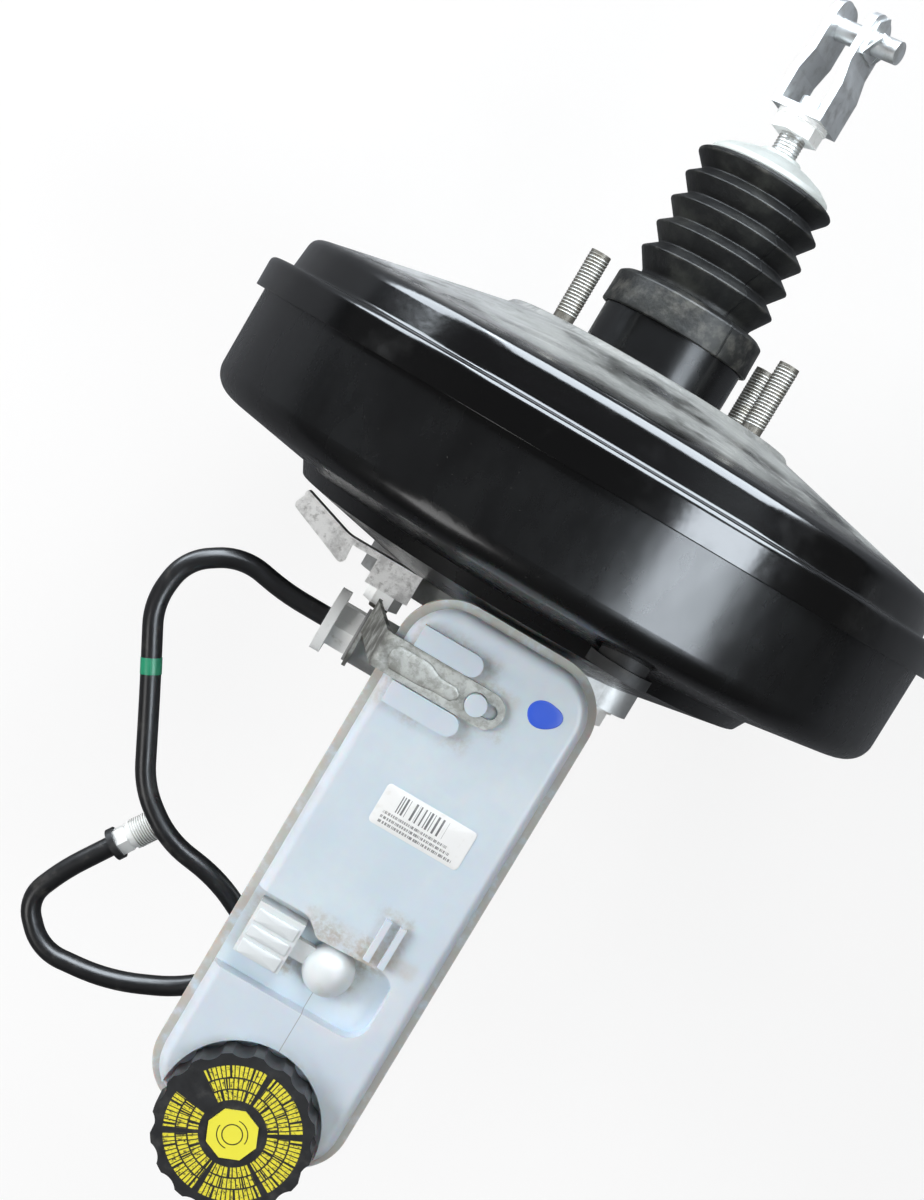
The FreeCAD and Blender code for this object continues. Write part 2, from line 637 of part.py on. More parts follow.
def rear_shell():
    """Shallow cover with the mounting pad, crimped over the front shell's lip."""
    hem_radius = lip_radius - d.hem_width
    shoulder_foot = crest_radius + d.shoulder_lean
    step_in = d.shell_wall / 2
    body = turned("rear_shell", [
        (hem_radius, hem_front),
        (d.rim_radius, hem_front),
        (d.rim_radius, -d.rim_rear, d.rim_rounding),
        (shoulder_foot, -d.rim_rear, d.foot_rounding),
        (crest_radius, -d.crest_drop, d.crest_rounding),
        (d.pad_radius + d.pad_slope, -d.pad_drop),
        (d.pad_radius, pad_rear),
        (d.neck_radius + d.running_gap, pad_rear),
        (d.neck_radius + d.running_gap, pad_front),
        (d.pad_radius - step_in, pad_front),
        (d.pad_radius + d.pad_slope - step_in, -d.pad_drop - d.shell_wall),
        (crest_radius - d.shell_wall, -d.crest_drop - d.shell_wall, d.crest_rounding - d.shell_wall),
        (shoulder_foot - d.shell_wall, -d.rim_rear - d.shell_wall, d.foot_rounding + d.shell_wall),
        (skirt_inside, -d.rim_rear - d.shell_wall, d.rim_rounding - d.shell_wall),
        (skirt_inside, hem_front + d.shell_wall),
        (hem_radius, hem_front + d.shell_wall),
    ])
    for side, height in (("top", d.stud_spread_z / 2), ("low", -d.stud_spread_z / 2)):
        hole = cylinder(body, side + "_hole", False, "+Y", (d.stud_spread_x / 2, pad_front - 1, height),
                        d.stud_radius + d.stud_swell + d.running_gap, d.shell_wall + 2)
        repeat_left(body, side + "_holes", hole, d.stud_spread_x)


def neck_sleeve():
    """Pressed tube through the rear shell, with its flange inside."""
    flange_radius = d.neck_radius + d.neck_flange
    mouth = d.tail_radius + d.neck_clear
    turned("neck_sleeve", [
        (neck_bore, pad_front - d.neck_wall),
        (flange_radius, pad_front - d.neck_wall),
        (flange_radius, pad_front),
        (d.neck_radius, pad_front),
        (d.neck_radius, d.neck_length),
        (mouth, d.neck_length),
        (mouth, d.neck_length - d.neck_wall),
        (neck_bore, d.neck_length - d.neck_wall),
    ])


def bulkhead_studs():
    """Four studs whose heads are welded inside the rear shell."""
    body = new_body("bulkhead_studs")
    across = d.stud_spread_x / 2
    up = d.stud_spread_z / 2
    for number, (x, z) in enumerate(((across, up), (-across, up), (-across, -up), (across, -up)), 1):
        cylinder(body, f"head_{number}", True, "-Y", (x, pad_front, z), d.stud_head_radius, d.stud_head)
        cylinder(body, f"neck_{number}", True, "-Y", (x, 0, z), d.stud_radius + d.stud_swell,
                 d.stud_head / 2 - pad_front)
        cylinder(body, f"shank_{number}", True, "+Y", (x, pad_front, z), d.stud_radius,
                 d.stud_length - pad_front)


def cylinder_studs():
    """Two studs that carry the master cylinder."""
    body = new_body("cylinder_studs")
    head_rear = boss_inside + d.stud_head
    root = boss_inside + d.stud_head / 2
    tip = flange_front - d.cylinder_nut_height - d.stud_past_nut
    for side, x in (("right", d.lug_pitch / 2), ("left", -d.lug_pitch / 2)):
        cylinder(body, side + "_head", True, "-Y", (x, head_rear, 0), d.stud_head_radius, d.stud_head)
        cylinder(body, side + "_shank", True, "-Y", (x, root, 0), d.cylinder_stud_radius, root - tip)


def cylinder_nuts():
    """Two flanged nuts; the left one clamps the harness bracket."""
    body = new_body("cylinder_nuts")
    across = d.lug_pitch / 2
    for side, x, seat in (("right", across, flange_front), ("left", -across, bracket_front)):
        cylinder(body, side + "_washer", True, "-Y", (x, seat, 0), d.nut_washer_radius, d.nut_washer_thick)
        hexagon(body, side + "_hex", True, "-Y", (x, seat - 1.0, 0), d.cylinder_nut_flats,
                d.cylinder_nut_height - 1.0)
        cylinder(body, side + "_bore", False, "-Y", (x, seat + 1, 0),
                 d.cylinder_stud_radius + d.running_gap, d.cylinder_nut_height + 2)


def front_seal():
    """Rubber ring between the cylinder's spigot and the front shell."""
    turned("front_seal", [
        (d.spigot_radius + d.running_gap, boss_face),
        (seal_hole - d.running_gap * 2, boss_face),
        (seal_hole - d.running_gap * 2, boss_face + d.front_seal_length),
        (d.spigot_radius + d.running_gap, boss_face + d.front_seal_length),
    ])


def neck_seal():
    """Guide and lip seal between the neck and the sliding tail."""
    rear = d.neck_length - d.neck_wall
    front = rear - d.neck_seal_length
    turned("neck_seal", [
        (d.tail_radius + d.running_gap, front),
        (neck_bore, front),
        (neck_bore, rear),
        (d.tail_radius + d.running_gap, rear),
    ])


def vacuum_grommet():
    """Rubber grommet of the hose port, open for the check valve."""
    body = new_body("vacuum_grommet")
    throat = d.vacuum_hole - d.running_gap
    cylinder(body, "outer", True, "-Y", (vacuum_x, vacuum_y - d.vacuum_stand, vacuum_z),
             d.vacuum_hole + d.vacuum_rim, d.vacuum_lip)
    cylinder(body, "throat", True, "+Y", (vacuum_x, vacuum_y - d.vacuum_lip, vacuum_z), throat,
             d.vacuum_throat)
    cylinder(body, "bore", False, "+Y", (vacuum_x, vacuum_y - d.vacuum_lip * 2, vacuum_z), d.vacuum_bore,
             d.vacuum_throat * 2)


def cylinder_body():
    """Cast master cylinder: flange, spigot, barrel, reservoir bosses and outlet bosses."""
    body = new_body("cylinder_body")
    mouth = boss_face + d.spigot_length
    right_reach = d.port_reach - d.port_short
    cylinder(body, "barrel", True, "+Y", (0, -barrel_front, 0), d.barrel_radius,
             barrel_front + flange_front + 1)
    cylinder(body, "spigot", True, "-Y", (0, mouth, 0), d.spigot_radius, d.spigot_length + 1)
    lug = cylinder(body, "lug", True, "-Y", (d.lug_pitch / 2, boss_face, 0), d.lug_radius, d.flange_thick)
    repeat_left(body, "lugs", lug, d.lug_pitch)
    web = d.lug_pitch / 2
    waist = d.barrel_radius + d.flange_waist
    extrude(body, "flange", "XZ_Plane", [
        (-web, -d.lug_radius),
        (-web / 3, -waist),
        (web / 3, -waist),
        (web, -d.lug_radius),
        (web, d.lug_radius),
        (web / 3, waist),
        (-web / 3, waist),
        (-web, d.lug_radius),
    ], flange_front, d.flange_thick)
    for name, ahead in (("first", feed_first), ("second", feed_second)):
        cylinder(body, name + "_boss", True, "+Z", (0, -ahead, 0), d.feed_radius, d.feed_top)
    cylinder(body, "left_boss", True, "-X", (0, -port_ahead, d.port_height), d.port_radius, d.port_reach)
    cylinder(body, "right_boss", True, "+X", (0, -feed_second, d.port_height), d.port_radius, right_reach)
    cylinder(body, "bore", False, "-Y", (0, mouth + 1, 0), d.bore_radius,
             mouth + 1 + barrel_front - d.barrel_end_wall)
    cylinder(body, "circlip_groove", False, "-Y", (0, mouth - 1.5, 0), d.bore_radius + 1.2, 1.3)
    for name, ahead in (("first", feed_first), ("second", feed_second)):
        cylinder(body, name + "_seat", False, "-Z", (0, -ahead, d.feed_top + 1), d.feed_bore,
                 d.feed_depth + 1)
        cylinder(body, name + "_feed", False, "-Z", (0, -ahead, d.feed_top), d.feed_hole,
                 d.feed_top - d.bore_radius + 2)
    cylinder(body, "left_thread", False, "+X", (-d.port_reach - 1, -port_ahead, d.port_height),
             d.port_thread, d.port_depth + 1)
    cylinder(body, "right_thread", False, "-X", (right_reach + 1, -feed_second, d.port_height),
             d.port_thread, d.port_depth + 1)
    hole = cylinder(body, "stud_hole", False, "+Y", (d.lug_pitch / 2, flange_front - 1, 0),
                    d.cylinder_stud_radius + d.hole_gap, d.flange_thick + 2)
    repeat_left(body, "stud_holes", hole, d.lug_pitch)


def cylinder_circlip():
    """Ring in the cylinder's mouth that stops the primary piston."""
    mouth = boss_face + d.spigot_length
    turned("cylinder_circlip", [
        (d.bore_radius - 2.2, mouth - 2.7),
        (d.bore_radius + 1.0, mouth - 2.7),
        (d.bore_radius + 1.0, mouth - 1.6),
        (d.bore_radius - 2.2, mouth - 1.6),
    ])


def reservoir_grommets():
    """Rubber bushes between the spouts and the cylinder."""
    body = new_body("reservoir_grommets")
    for name, ahead in (("first", feed_first), ("second", feed_second)):
        seat = d.feed_top - d.feed_depth
        cylinder(body, name + "_plug", True, "+Z", (0, -ahead, seat), d.feed_bore - d.running_gap,
                 d.feed_depth)
        cylinder(body, name + "_rim", True, "+Z", (0, -ahead, d.feed_top), d.feed_bore + d.grommet_rim,
                 d.grommet_rim)
        cylinder(body, name + "_hole", False, "+Z", (0, -ahead, seat - 1), d.spout_radius + d.running_gap,
                 d.feed_depth + d.grommet_rim + 2)


def tank_slab(body, name, inset, bottom, thickness, adds=True, shy=0.0):
    """Slab or hollow of the reservoir's rounded plan, drawn in all round and shy of its rear end."""
    corner = d.seam_corner - inset
    extrude(body, name, "XY_Plane", [
        (tank_left + inset, -tank_front + inset, corner),
        (tank_right - inset, -tank_front + inset, corner),
        (tank_right - inset, -tank_rear - inset - shy, corner),
        (tank_left + inset, -tank_rear - inset - shy, corner),
    ], bottom, thickness, adds)


def reservoir_lower():
    """Open tray with half of the seam flange, the round front and two spouts."""
    body = new_body("reservoir_lower")
    inner = d.seam_width + d.tank_wall
    turret_bottom = tray_floor + d.turret_foot
    tank_slab(body, "tray", d.seam_width, tray_floor, d.tray_depth, shy=d.tank_shy)
    tank_slab(body, "seam", sized(0), seam_height, d.seam_thick)
    cylinder(body, "turret", True, "+Z", (filler_x, filler_y, turret_bottom), d.turret_radius,
             seam_middle - turret_bottom)
    cylinder(body, "turret_seam", True, "+Z", (filler_x, filler_y, seam_height),
             d.turret_radius + d.turret_edge, d.seam_thick)
    bottom = d.feed_top - d.feed_depth + 2
    shoulder = d.feed_top + d.grommet_rim + d.seat_gap
    for name, ahead in (("first", feed_first), ("second", feed_second)):
        cylinder(body, name + "_spout", True, "+Z", (0, -ahead, bottom), d.spout_radius,
                 tray_floor - bottom + 1)
        cylinder(body, name + "_shoulder", True, "+Z", (0, -ahead, shoulder), d.feed_bore,
                 tray_floor - shoulder + 1)
    tank_slab(body, "hollow", inner, tray_floor + d.tank_wall, d.tray_depth + 5, False, d.tank_shy)
    cylinder(body, "turret_hollow", False, "+Z", (filler_x, filler_y, turret_bottom + d.tank_wall),
             d.turret_radius - d.tank_wall, d.tray_depth + d.seam_thick)
    for name, ahead in (("first", feed_first), ("second", feed_second)):
        cylinder(body, name + "_bore", False, "+Z", (0, -ahead, bottom - 1), d.spout_bore,
                 tray_floor - bottom + d.tank_wall + 2)


def at_level(height):
    """Test for a straight edge at a height."""
    def test(edge):
        first, last = edge.Vertexes[0].Point, edge.Vertexes[-1].Point
        return abs(first.z - float(height)) < 1e-4 and abs(last.z - float(height)) < 1e-4
    return test


def reservoir_upper():
    """Welded lid: seam flange, raised deck, sensor well, strap rails and peg, and the filler neck."""
    body = new_body("reservoir_upper")
    inner = d.seam_width + d.tank_wall
    skin = d.tank_wall
    well_right = tank_right - d.seam_width - d.well_side
    tank_slab(body, "deck", d.seam_width, seam_middle, d.deck_height)
    soften(body, "deck_edge", at_level(deck_top), d.deck_rounding)
    extrude(body, "well", "XY_Plane", [
        (tank_left, -well_rear),
        (d.tank_middle - 14, -well_rear, 6),
        (d.tank_middle - 8, -well_rear - 5.5, 3),
        (well_right, -well_rear - 4, 6),
        (well_right, -well_front, 8),
        (tank_left, -well_front),
    ], well_floor, d.well_depth + 1, False)
    cylinder(body, "shroud", False, "+Z", (filler_x, filler_y, deck_top - d.shroud_depth), d.shroud_radius,
             d.shroud_depth + 1)
    tank_slab(body, "seam", sized(0), seam_middle, d.seam_thick)
    cylinder(body, "turret_seam", True, "+Z", (filler_x, filler_y, seam_middle),
             d.turret_radius + d.turret_edge, d.deck_height - d.shroud_depth)
    block(body, "rear_hollow", False, (tank_left + inner + 3, -well_rear + skin, seam_middle - 1),
          (tank_right - inner - 3, -tank_rear - inner - 8, deck_top - skin))
    cylinder(body, "filler_neck", True, "+Z", (filler_x, filler_y, seam_middle + 1),
             d.neck_mouth + d.neck_skin, d.deck_height + d.neck_rise - 1)
    cylinder(body, "filler_bore", False, "+Z", (filler_x, filler_y, seam_middle - 1), d.neck_mouth,
             d.deck_height + d.neck_rise + 2)
    beside = d.strap_width / 2 + d.seat_gap
    rail_left = tank_left + d.rail_inset
    rail_right = peg_x - d.rail_short
    half = d.rail_width / 2
    for name, y, right in (("rear_rail", -strap_ahead + beside, rail_right),
                           ("front_rail", -strap_ahead - beside - d.rail_width, rail_right + d.rail_extra)):
        block(body, name, True, (rail_left, y, deck_top - 1),
              (right - half, y + d.rail_width, deck_top + d.rail_height))
        cylinder(body, name + "_end", True, "+Z", (right - half, y + half, deck_top - 1), half,
                 d.rail_height + 1)
    cylinder(body, "peg", True, "+Z", (peg_x, -strap_ahead, deck_top - 1), d.peg_radius, d.peg_height + 1)
    fin_left = d.tank_middle + d.fin_shift - d.fin_thick / 2
    fin_front = -well_rear - d.fin_lead
    for name, left in (("inner_fin", fin_left), ("outer_fin", fin_left + d.fin_pitch)):
        block(body, name, True, (left, fin_front, well_floor - 1),
              (left + d.fin_thick, fin_front + d.fin_length, deck_top + d.fin_rise))
    cylinder(body, "float_boss", True, "+Z", (float_x, float_y, well_floor - 1), d.float_boss,
             d.boss_rise + 1)
    cylinder(body, "float_post", True, "+Z", (float_x, float_y, tray_floor + skin + d.seat_gap),
             d.float_post, seam_middle - tray_floor - skin)


def level_sensor():
    """Plug block of the level switch, with an arm that clips round the float's boss."""
    body = new_body("level_sensor")
    floor = well_floor + d.running_gap
    left = tank_left + d.plug_inset
    right = left + d.plug_width
    rear = -well_rear - d.plug_gap
    front = rear - d.plug_length
    top = deck_top + d.plug_rise
    middle = (front + rear) / 2
    dome = d.float_boss + d.dome_wall
    block(body, "plug", True, (left, front, floor), (right, rear, top))
    block(body, "arm", True, (right - 1, middle - d.arm_width / 2, floor),
          (float_x - dome / 2, middle + d.arm_width / 2, floor + d.arm_height))
    cylinder(body, "dome_wall", True, "+Z", (float_x, float_y, floor), dome, d.dome_rise)
    doc.recompute()
    ball = body.newObject("PartDesign::AdditiveSphere", "dome")
    place(ball, "+Z", (float_x, float_y, floor + d.dome_rise))
    tie(ball, "Radius", dome)
    ball.Angle1 = 0
    cylinder(body, "dome_bore", False, "+Z", (float_x, float_y, floor - 1),
             d.float_boss + d.running_gap * 2, d.boss_rise + d.seat_gap + 1)
    block(body, "socket", False, (left - 1, front + d.plug_skin, floor + d.plug_lid),
          (right - d.plug_end, rear - d.plug_skin, top - d.plug_lid))


def level_float():
    """Foam ring that rides on the post in the reservoir."""
    body = new_body("level_float")
    floor = tray_floor + d.tank_wall + d.seat_gap
    cylinder(body, "foam", True, "+Z", (float_x, float_y, floor), d.float_radius, d.float_height)
    cylinder(body, "hole", False, "+Z", (float_x, float_y, floor - 1), d.float_post + d.running_gap * 2,
             d.float_height + 2)


def cap_seal():
    """Rubber disc that the cap presses on the filler's mouth."""
    body = new_body("cap_seal")
    cylinder(body, "disc", True, "+Z", (filler_x, filler_y, mouth_top), d.neck_mouth + d.neck_skin,
             d.cap_seal_thick)
    cylinder(body, "dome", True, "-Z", (filler_x, filler_y, mouth_top + d.cap_seal_thick / 2),
             d.neck_mouth - d.seat_gap, d.cap_seal_thick * 2)


def filler_cap():
    """Screw cap with scalloped grips and a raised octagon."""
    body = new_body("filler_cap")
    inside_top = mouth_top + d.cap_seal_thick
    top = inside_top + d.cap_skin
    base = top - d.cap_height
    skirt_radius = d.neck_mouth + d.neck_skin + d.cap_gap
    cylinder(body, "cap", True, "+Z", (filler_x, filler_y, base), d.cap_radius, d.cap_height)
    notch_x = filler_x + d.cap_radius + d.notch_out
    cylinder(body, "recess", False, "+Z", (filler_x, filler_y, base - 1), skirt_radius,
             inside_top - base + 1)
    notch = cylinder(body, "notch", False, "+Z", (notch_x, filler_y, base - 1), d.notch_radius,
                     d.cap_height + 2)
    doc.recompute()
    axis = body.newObject("PartDesign::Line", "cap_axis")
    axis.MapMode = "Deactivated"
    place(axis, "+Z", (filler_x, filler_y, 0))
    pattern = body.newObject("PartDesign::PolarPattern", "grips")
    pattern.Originals = [notch]
    pattern.Axis = (axis, [""])
    pattern.Angle = 360
    pattern.Occurrences = 16
    body.Tip = pattern
    doc.recompute()
    crown = body.newObject("PartDesign::AdditivePrism", "octagon")
    crown.Polygon = 8
    place(crown, "+Z", (filler_x, filler_y, top - 0.5))
    tie(crown, "Circumradius", d.crown_radius)
    tie(crown, "Height", d.crown_rise + 0.5)


def reservoir_strap():
    """Galvanised strap from the pipe union over the reservoir to its peg."""
    body = new_body("reservoir_strap")
    thick = d.strap_thick
    seat = deck_top + d.running_gap
    bend_x = tank_left - d.bend_out
    foot_x = -d.port_reach
    foot_top = d.port_height + d.foot_rise
    foot_low = d.port_height - d.foot_fall
    tip_x = d.strap_end - d.strap_width / 2
    extrude(body, "ribbon", "XZ_Plane", [
        (tip_x, seat),
        (tip_x, seat + thick),
        (bend_x - thick, seat + thick, d.bend_rounding + thick),
        (foot_x - thick, foot_top),
        (foot_x - thick, foot_top - 6),
        (foot_x, foot_top - 6),
        (foot_x, foot_top),
        (bend_x, seat, d.bend_rounding),
    ], -strap_ahead - d.strap_width / 2, d.strap_width)
    cylinder(body, "tip", True, "+Z", (tip_x, -strap_ahead, seat), d.strap_width / 2, thick)
    block(body, "foot", True, (foot_x - thick, -port_ahead - d.foot_half, foot_low),
          (foot_x, -port_ahead + d.foot_half, foot_top))
    slot_end = tip_x + 1.5
    slot_half = d.strap_width / 5
    cylinder(body, "slot_start", False, "+Z", (peg_x, -strap_ahead, seat - 1), d.peg_radius + d.hole_gap,
             thick + 2)
    cylinder(body, "slot_end", False, "+Z", (slot_end, -strap_ahead, seat - 1), slot_half, thick + 2)
    block(body, "slot_middle", False, (peg_x, -strap_ahead - slot_half, seat - 1),
          (slot_end, -strap_ahead + slot_half, seat + thick + 1))
    cylinder(body, "port_hole", False, "-X", (foot_x + 1, -port_ahead, d.port_height),
             d.port_thread + d.hole_gap, thick + 2)


def pipe_union():
    """Tube nut with a collar, screwed into the outlet through the strap's foot."""
    body = new_body("pipe_union")
    face = -d.port_reach - d.strap_thick
    y = -port_ahead
    hexagon(body, "hex", True, "-X", (face, y, d.port_height), d.union_flats, d.union_length)
    cylinder(body, "thread", True, "+X", (face - 1, y, d.port_height), d.port_thread - d.running_gap,
             d.strap_thick + d.port_depth - 1)
    cylinder(body, "collar", True, "-X", (face - d.union_length, y, d.port_height), d.collar_radius,
             d.collar_thick)
    cylinder(body, "bore", False, "-X", (face + 20, y, d.port_height), d.pipe_bore,
             d.union_length + d.collar_thick + 22)


PIPE_ROUTE = [
    (-78.0, -140.5, 10.0), (-99.0, -136.5, 12.0), (-117.0, -148.5, 13.0), (-119.5, -168.5, 14.0),
    (-104.5, -197.5, 14.0), (-87.0, -233.0, 14.0), (-69.0, -246.0, 14.0), (-45.0, -249.5, 13.0),
    (-24.0, -261.5, 8.0), (-18.0, -280.5, 1.0), (-35.0, -299.5, -3.0), (-62.0, -312.5, -4.0),
    (-92.0, -315.5, -4.0), (-106.5, -300.0, -4.0), (-99.5, -282.5, -4.0),
]
PIPE_END = (-87.6, -263.8, -4.0)


def bent_path(points):
    """Straight runs joined by tangent arcs, each as large as its two runs allow."""
    spots = [Vector(*point) for point in points]
    edges = []
    radii = []
    last = spots[0]
    for before, corner, after in zip(spots, spots[1:], spots[2:]):
        into = (corner - before).normalize()
        out = (after - corner).normalize()
        bend = into.getAngle(out)
        shorter = min((corner - before).Length, (after - corner).Length)
        cut = 0.45 * shorter
        radii.append(cut / math.tan(bend / 2))
        start = corner - into * cut
        end = corner + out * cut
        middle_line = (out - into).normalize()
        middle = corner + middle_line * (radii[-1] / math.cos(bend / 2) - radii[-1])
        edges.append(Part.LineSegment(last, start).toShape())
        edges.append(Part.Arc(start, middle, end).toShape())
        last = end
    edges.append(Part.LineSegment(last, spots[-1]).toShape())
    return Part.Wire(edges), radii


def tube(path, radius):
    """Round bar along a path."""
    edge = path.Edges[0]
    start = edge.valueAt(edge.FirstParameter)
    section = Part.Wire(Part.Circle(start, edge.tangentAt(edge.FirstParameter), radius).toShape())
    return path.makePipeShell([section], True, True)


def brake_pipe():
    """Rigid steel pipe in a plastic sleeve, from the union to its loose end."""
    union_end = float(d.port_reach + d.strap_thick + d.union_length + d.collar_thick)
    start = (-union_end, -float(port_ahead), float(d.port_height))
    path, radii = bent_path([start, *PIPE_ROUTE, PIPE_END])
    shape = tube(path, float(d.pipe_radius))
    print("brake_pipe length", round(path.Length, 1), "radii", [round(radius, 1) for radius in radii])
    section = math.pi * float(d.pipe_radius) ** 2
    print("brake_pipe volume", round(shape.Volume), "section times length", round(section * path.Length))
    plain_feature("brake_pipe", shape)


def at_pipe_end(body):
    """Place a body that is built upright from the origin on the pipe's loose end."""
    last = Vector(*PIPE_END)
    along = last - Vector(*PIPE_ROUTE[-1])
    body.Placement = FreeCAD.Placement(last, Rotation(Vector(0, 0, 1), along))


def nut_collar():
    """Black plastic collar where the sleeve meets the loose nut."""
    body = new_body("nut_collar")
    cylinder(body, "ring", True, "+Z", (0, 0, 0), d.end_collar_radius, d.end_collar_thick)
    cylinder(body, "bore", False, "+Z", (0, 0, -1), d.pipe_bore, d.end_collar_thick + 2)
    at_pipe_end(body)


def pipe_end_nut():
    """Male nut on the loose end: a hex under the collar, a groove and the thread."""
    body = new_body("pipe_end_nut")
    start = d.end_collar_thick
    grip = start + d.end_nut_length * 0.3
    thread = grip + d.end_groove
    hexagon(body, "hex", True, "+Z", (0, 0, start), d.end_thread * 1.75, grip - start)
    cylinder(body, "neck", True, "+Z", (0, 0, grip - 0.5), d.end_thread * 0.85, d.end_groove + 1)
    cylinder(body, "thread", True, "+Z", (0, 0, thread), d.end_thread, start + d.end_nut_length - thread)
    cylinder(body, "bore", False, "+Z", (0, 0, start - 1), d.pipe_bore, d.end_nut_length + 2)
    at_pipe_end(body)


def harness_bracket():
    """Folded sheet bracket clamped by the left cylinder nut."""
    body = new_body("harness_bracket")
    stud = -d.lug_pitch / 2
    thick = d.bracket_thick
    top = d.bracket_top
    wing_end = stud - d.bracket_reach
    left = stud - d.bracket_half
    right = stud + d.bracket_half
    rear = boss_face - d.bracket_gap
    bend = wing_end + d.wing_bend
    tip_y = boss_face + d.wing_kick
    block(body, "foot", True, (left, bracket_front, -d.bracket_fall), (right, flange_front, top))
    block(body, "web", True, (left, bracket_front, top - thick), (right, rear, top))
    extrude(body, "wing", "XY_Plane", [
        (right, rear),
        (right, rear - thick),
        (bend, rear - thick, 12),
        (wing_end, tip_y, 1),
        (wing_end, tip_y + thick, 1),
        (bend, rear, 14.5),
    ], top - d.bracket_wing, d.bracket_wing)
    extrude(body, "lip", "XY_Plane", [
        (wing_end - 2, boss_face - 2.0, 2),
        (stud - d.lip_root, rear - d.lip_width - 0.5, 2),
        (stud - d.lip_root - 1, rear - 0.7),
        (wing_end + 0.5, tip_y + 0.5),
    ], top - thick, thick)
    cylinder(body, "hole", False, "+Y", (stud, bracket_front - 1, 0), d.cylinder_stud_radius + d.hole_gap,
             thick + 2)


def valve_body():
    """Plastic power piston hub: nose, hub, sliding tail, valve chamber and key slot."""
    disc_room = d.disc_radius + 0.3
    body = turned("valve_body", [
        (d.plunger_radius + d.running_gap, -d.hub_front),
        (disc_room, -d.hub_front),
        (disc_room, -d.nose_front),
        (d.nose_radius, -d.nose_front),
        (d.nose_radius, -d.hub_front),
        (d.hub_radius, -d.hub_front),
        (d.hub_radius, -d.hub_rear),
        (d.tail_radius, -d.hub_rear),
        (d.tail_radius, d.tail_rear),
        (d.tail_bore, d.tail_rear),
        (d.tail_bore, seat_y),
        (d.seat_inner + 2, seat_y),
        (d.seat_inner + 2, valve_y),
        (d.seat_inner, valve_y),
        (d.seat_inner, seat_y),
        (d.plunger_radius + d.running_gap, seat_y),
    ])
    slack = d.running_gap * 3
    block(body, "key_slot", False, (-d.key_left - slack, key_front - slack, -d.key_half - slack),
          (d.hub_radius + 1, key_front + d.key_thick + slack, d.key_half + slack))


def stop_key():
    """Forked plate that limits the plunger's play."""
    body = new_body("stop_key")
    rear = key_front + d.key_thick
    block(body, "plate", True, (-d.key_left, key_front, -d.key_half), (d.hub_radius - 1, rear, d.key_half))
    slot = d.plunger_radius - 1.6
    cylinder(body, "fork_end", False, "+Y", (0, key_front - 1, 0), slot, d.key_thick + 2)
    block(body, "fork", False, (-d.key_left - 1, key_front - 1, -slot), (0, rear + 1, slot))


def valve_plunger():
    """Plunger: stem with its key groove, valve seat and socket for the rod's ball."""
    stem = d.plunger_radius
    groove_front = key_front - d.seat_gap
    groove_rear = key_front + d.key_thick + d.valve_travel + d.seat_gap
    front = -d.hub_front + d.seat_gap
    disc_rear = valve_y - 0.1
    ball_room = d.ball_radius + 0.2
    socket_rear = -d.ball_ahead + d.ball_radius * 0.7
    turned("valve_plunger", [
        (0, front + d.valve_travel),
        (stem, front + d.valve_travel),
        (stem, groove_front),
        (stem - 1.8, groove_front),
        (stem - 1.8, groove_rear),
        (stem, groove_rear),
        (stem, disc_rear - 2.2),
        (d.plunger_head, disc_rear - 2.2),
        (d.plunger_head, disc_rear),
        (d.plunger_socket, disc_rear),
        (d.plunger_socket, socket_rear),
        (ball_room, socket_rear),
        (ball_room, -d.ball_ahead - ball_room),
        (0, -d.ball_ahead - ball_room),
    ])


def reaction_disc():
    """Rubber disc between the valve body and the output rod."""
    body = new_body("reaction_disc")
    cylinder(body, "disc", True, "-Y", (0, -d.hub_front, 0), d.disc_radius, d.disc_thick)


def output_rod():
    """Mushroom headed rod from the reaction disc to the primary piston."""
    head = -d.hub_front - d.disc_thick
    tip = -(d.primary_rear + d.socket_depth)
    turned("output_rod", [
        (0, head),
        (d.disc_radius, head),
        (d.disc_radius, head - 3.5),
        (d.push_radius, head - 7),
        (d.push_radius, tip),
        (0, tip),
    ])


def diaphragm_plate():
    """Pressed plate that carries the diaphragm."""
    inner = d.tail_radius + 0.05
    flat = d.hub_radius + 5
    rear = -d.hub_rear + d.plate_thick
    turned("diaphragm_plate", [
        (inner, -d.hub_rear),
        (flat, -d.hub_rear),
        (plate_radius, -d.plate_drop),
        (plate_radius, -d.plate_drop + d.plate_thick),
        (flat, rear),
        (inner, rear),
    ])


def diaphragm():
    """Rolling rubber diaphragm, its bead gripped in the crimped rim."""
    inner = d.tail_radius + 0.05
    flat = d.hub_radius + 5
    front = -d.hub_rear + d.plate_thick
    edge = -d.plate_drop + d.plate_thick
    bead_front = lip_rear + 0.1
    turned("diaphragm", [
        (inner, front),
        (flat, front),
        (plate_radius, edge),
        (skirt_inside - 8, bead_front),
        (skirt_inside - 0.1, bead_front),
        (skirt_inside - 0.1, bead_front + 6),
        (skirt_inside - 6, bead_front + 2.5),
        (plate_radius + 1, edge + d.rubber_thick),
        (flat, front + d.rubber_thick),
        (inner, front + d.rubber_thick),
    ])


def air_filter():
    """Felt ring round the input rod in the tail."""
    rear = d.tail_rear - 1.5
    turned("air_filter", [
        (d.filter_bore, rear - d.filter_length),
        (d.tail_bore - 0.1, rear - d.filter_length),
        (d.tail_bore - 0.1, rear),
        (d.filter_bore, rear),
    ])


def poppet_valve():
    """Rubber valve ring that seals on the body and the plunger."""
    front = valve_y + d.running_gap
    turned("poppet_valve", [
        (d.poppet_bore, front),
        (d.tail_bore - 1.5, front),
        (d.tail_bore - 1.5, front + d.poppet_thick),
        (d.poppet_bore, front + d.poppet_thick),
    ])


def poppet_retainer():
    """Ring that holds the poppet valve in the tail."""
    turned("poppet_retainer", [
        (d.rod_radius + 4, -d.retainer_thick),
        (d.tail_bore - 0.1, -d.retainer_thick),
        (d.tail_bore - 0.1, 0),
        (d.rod_radius + 4, 0),
    ])


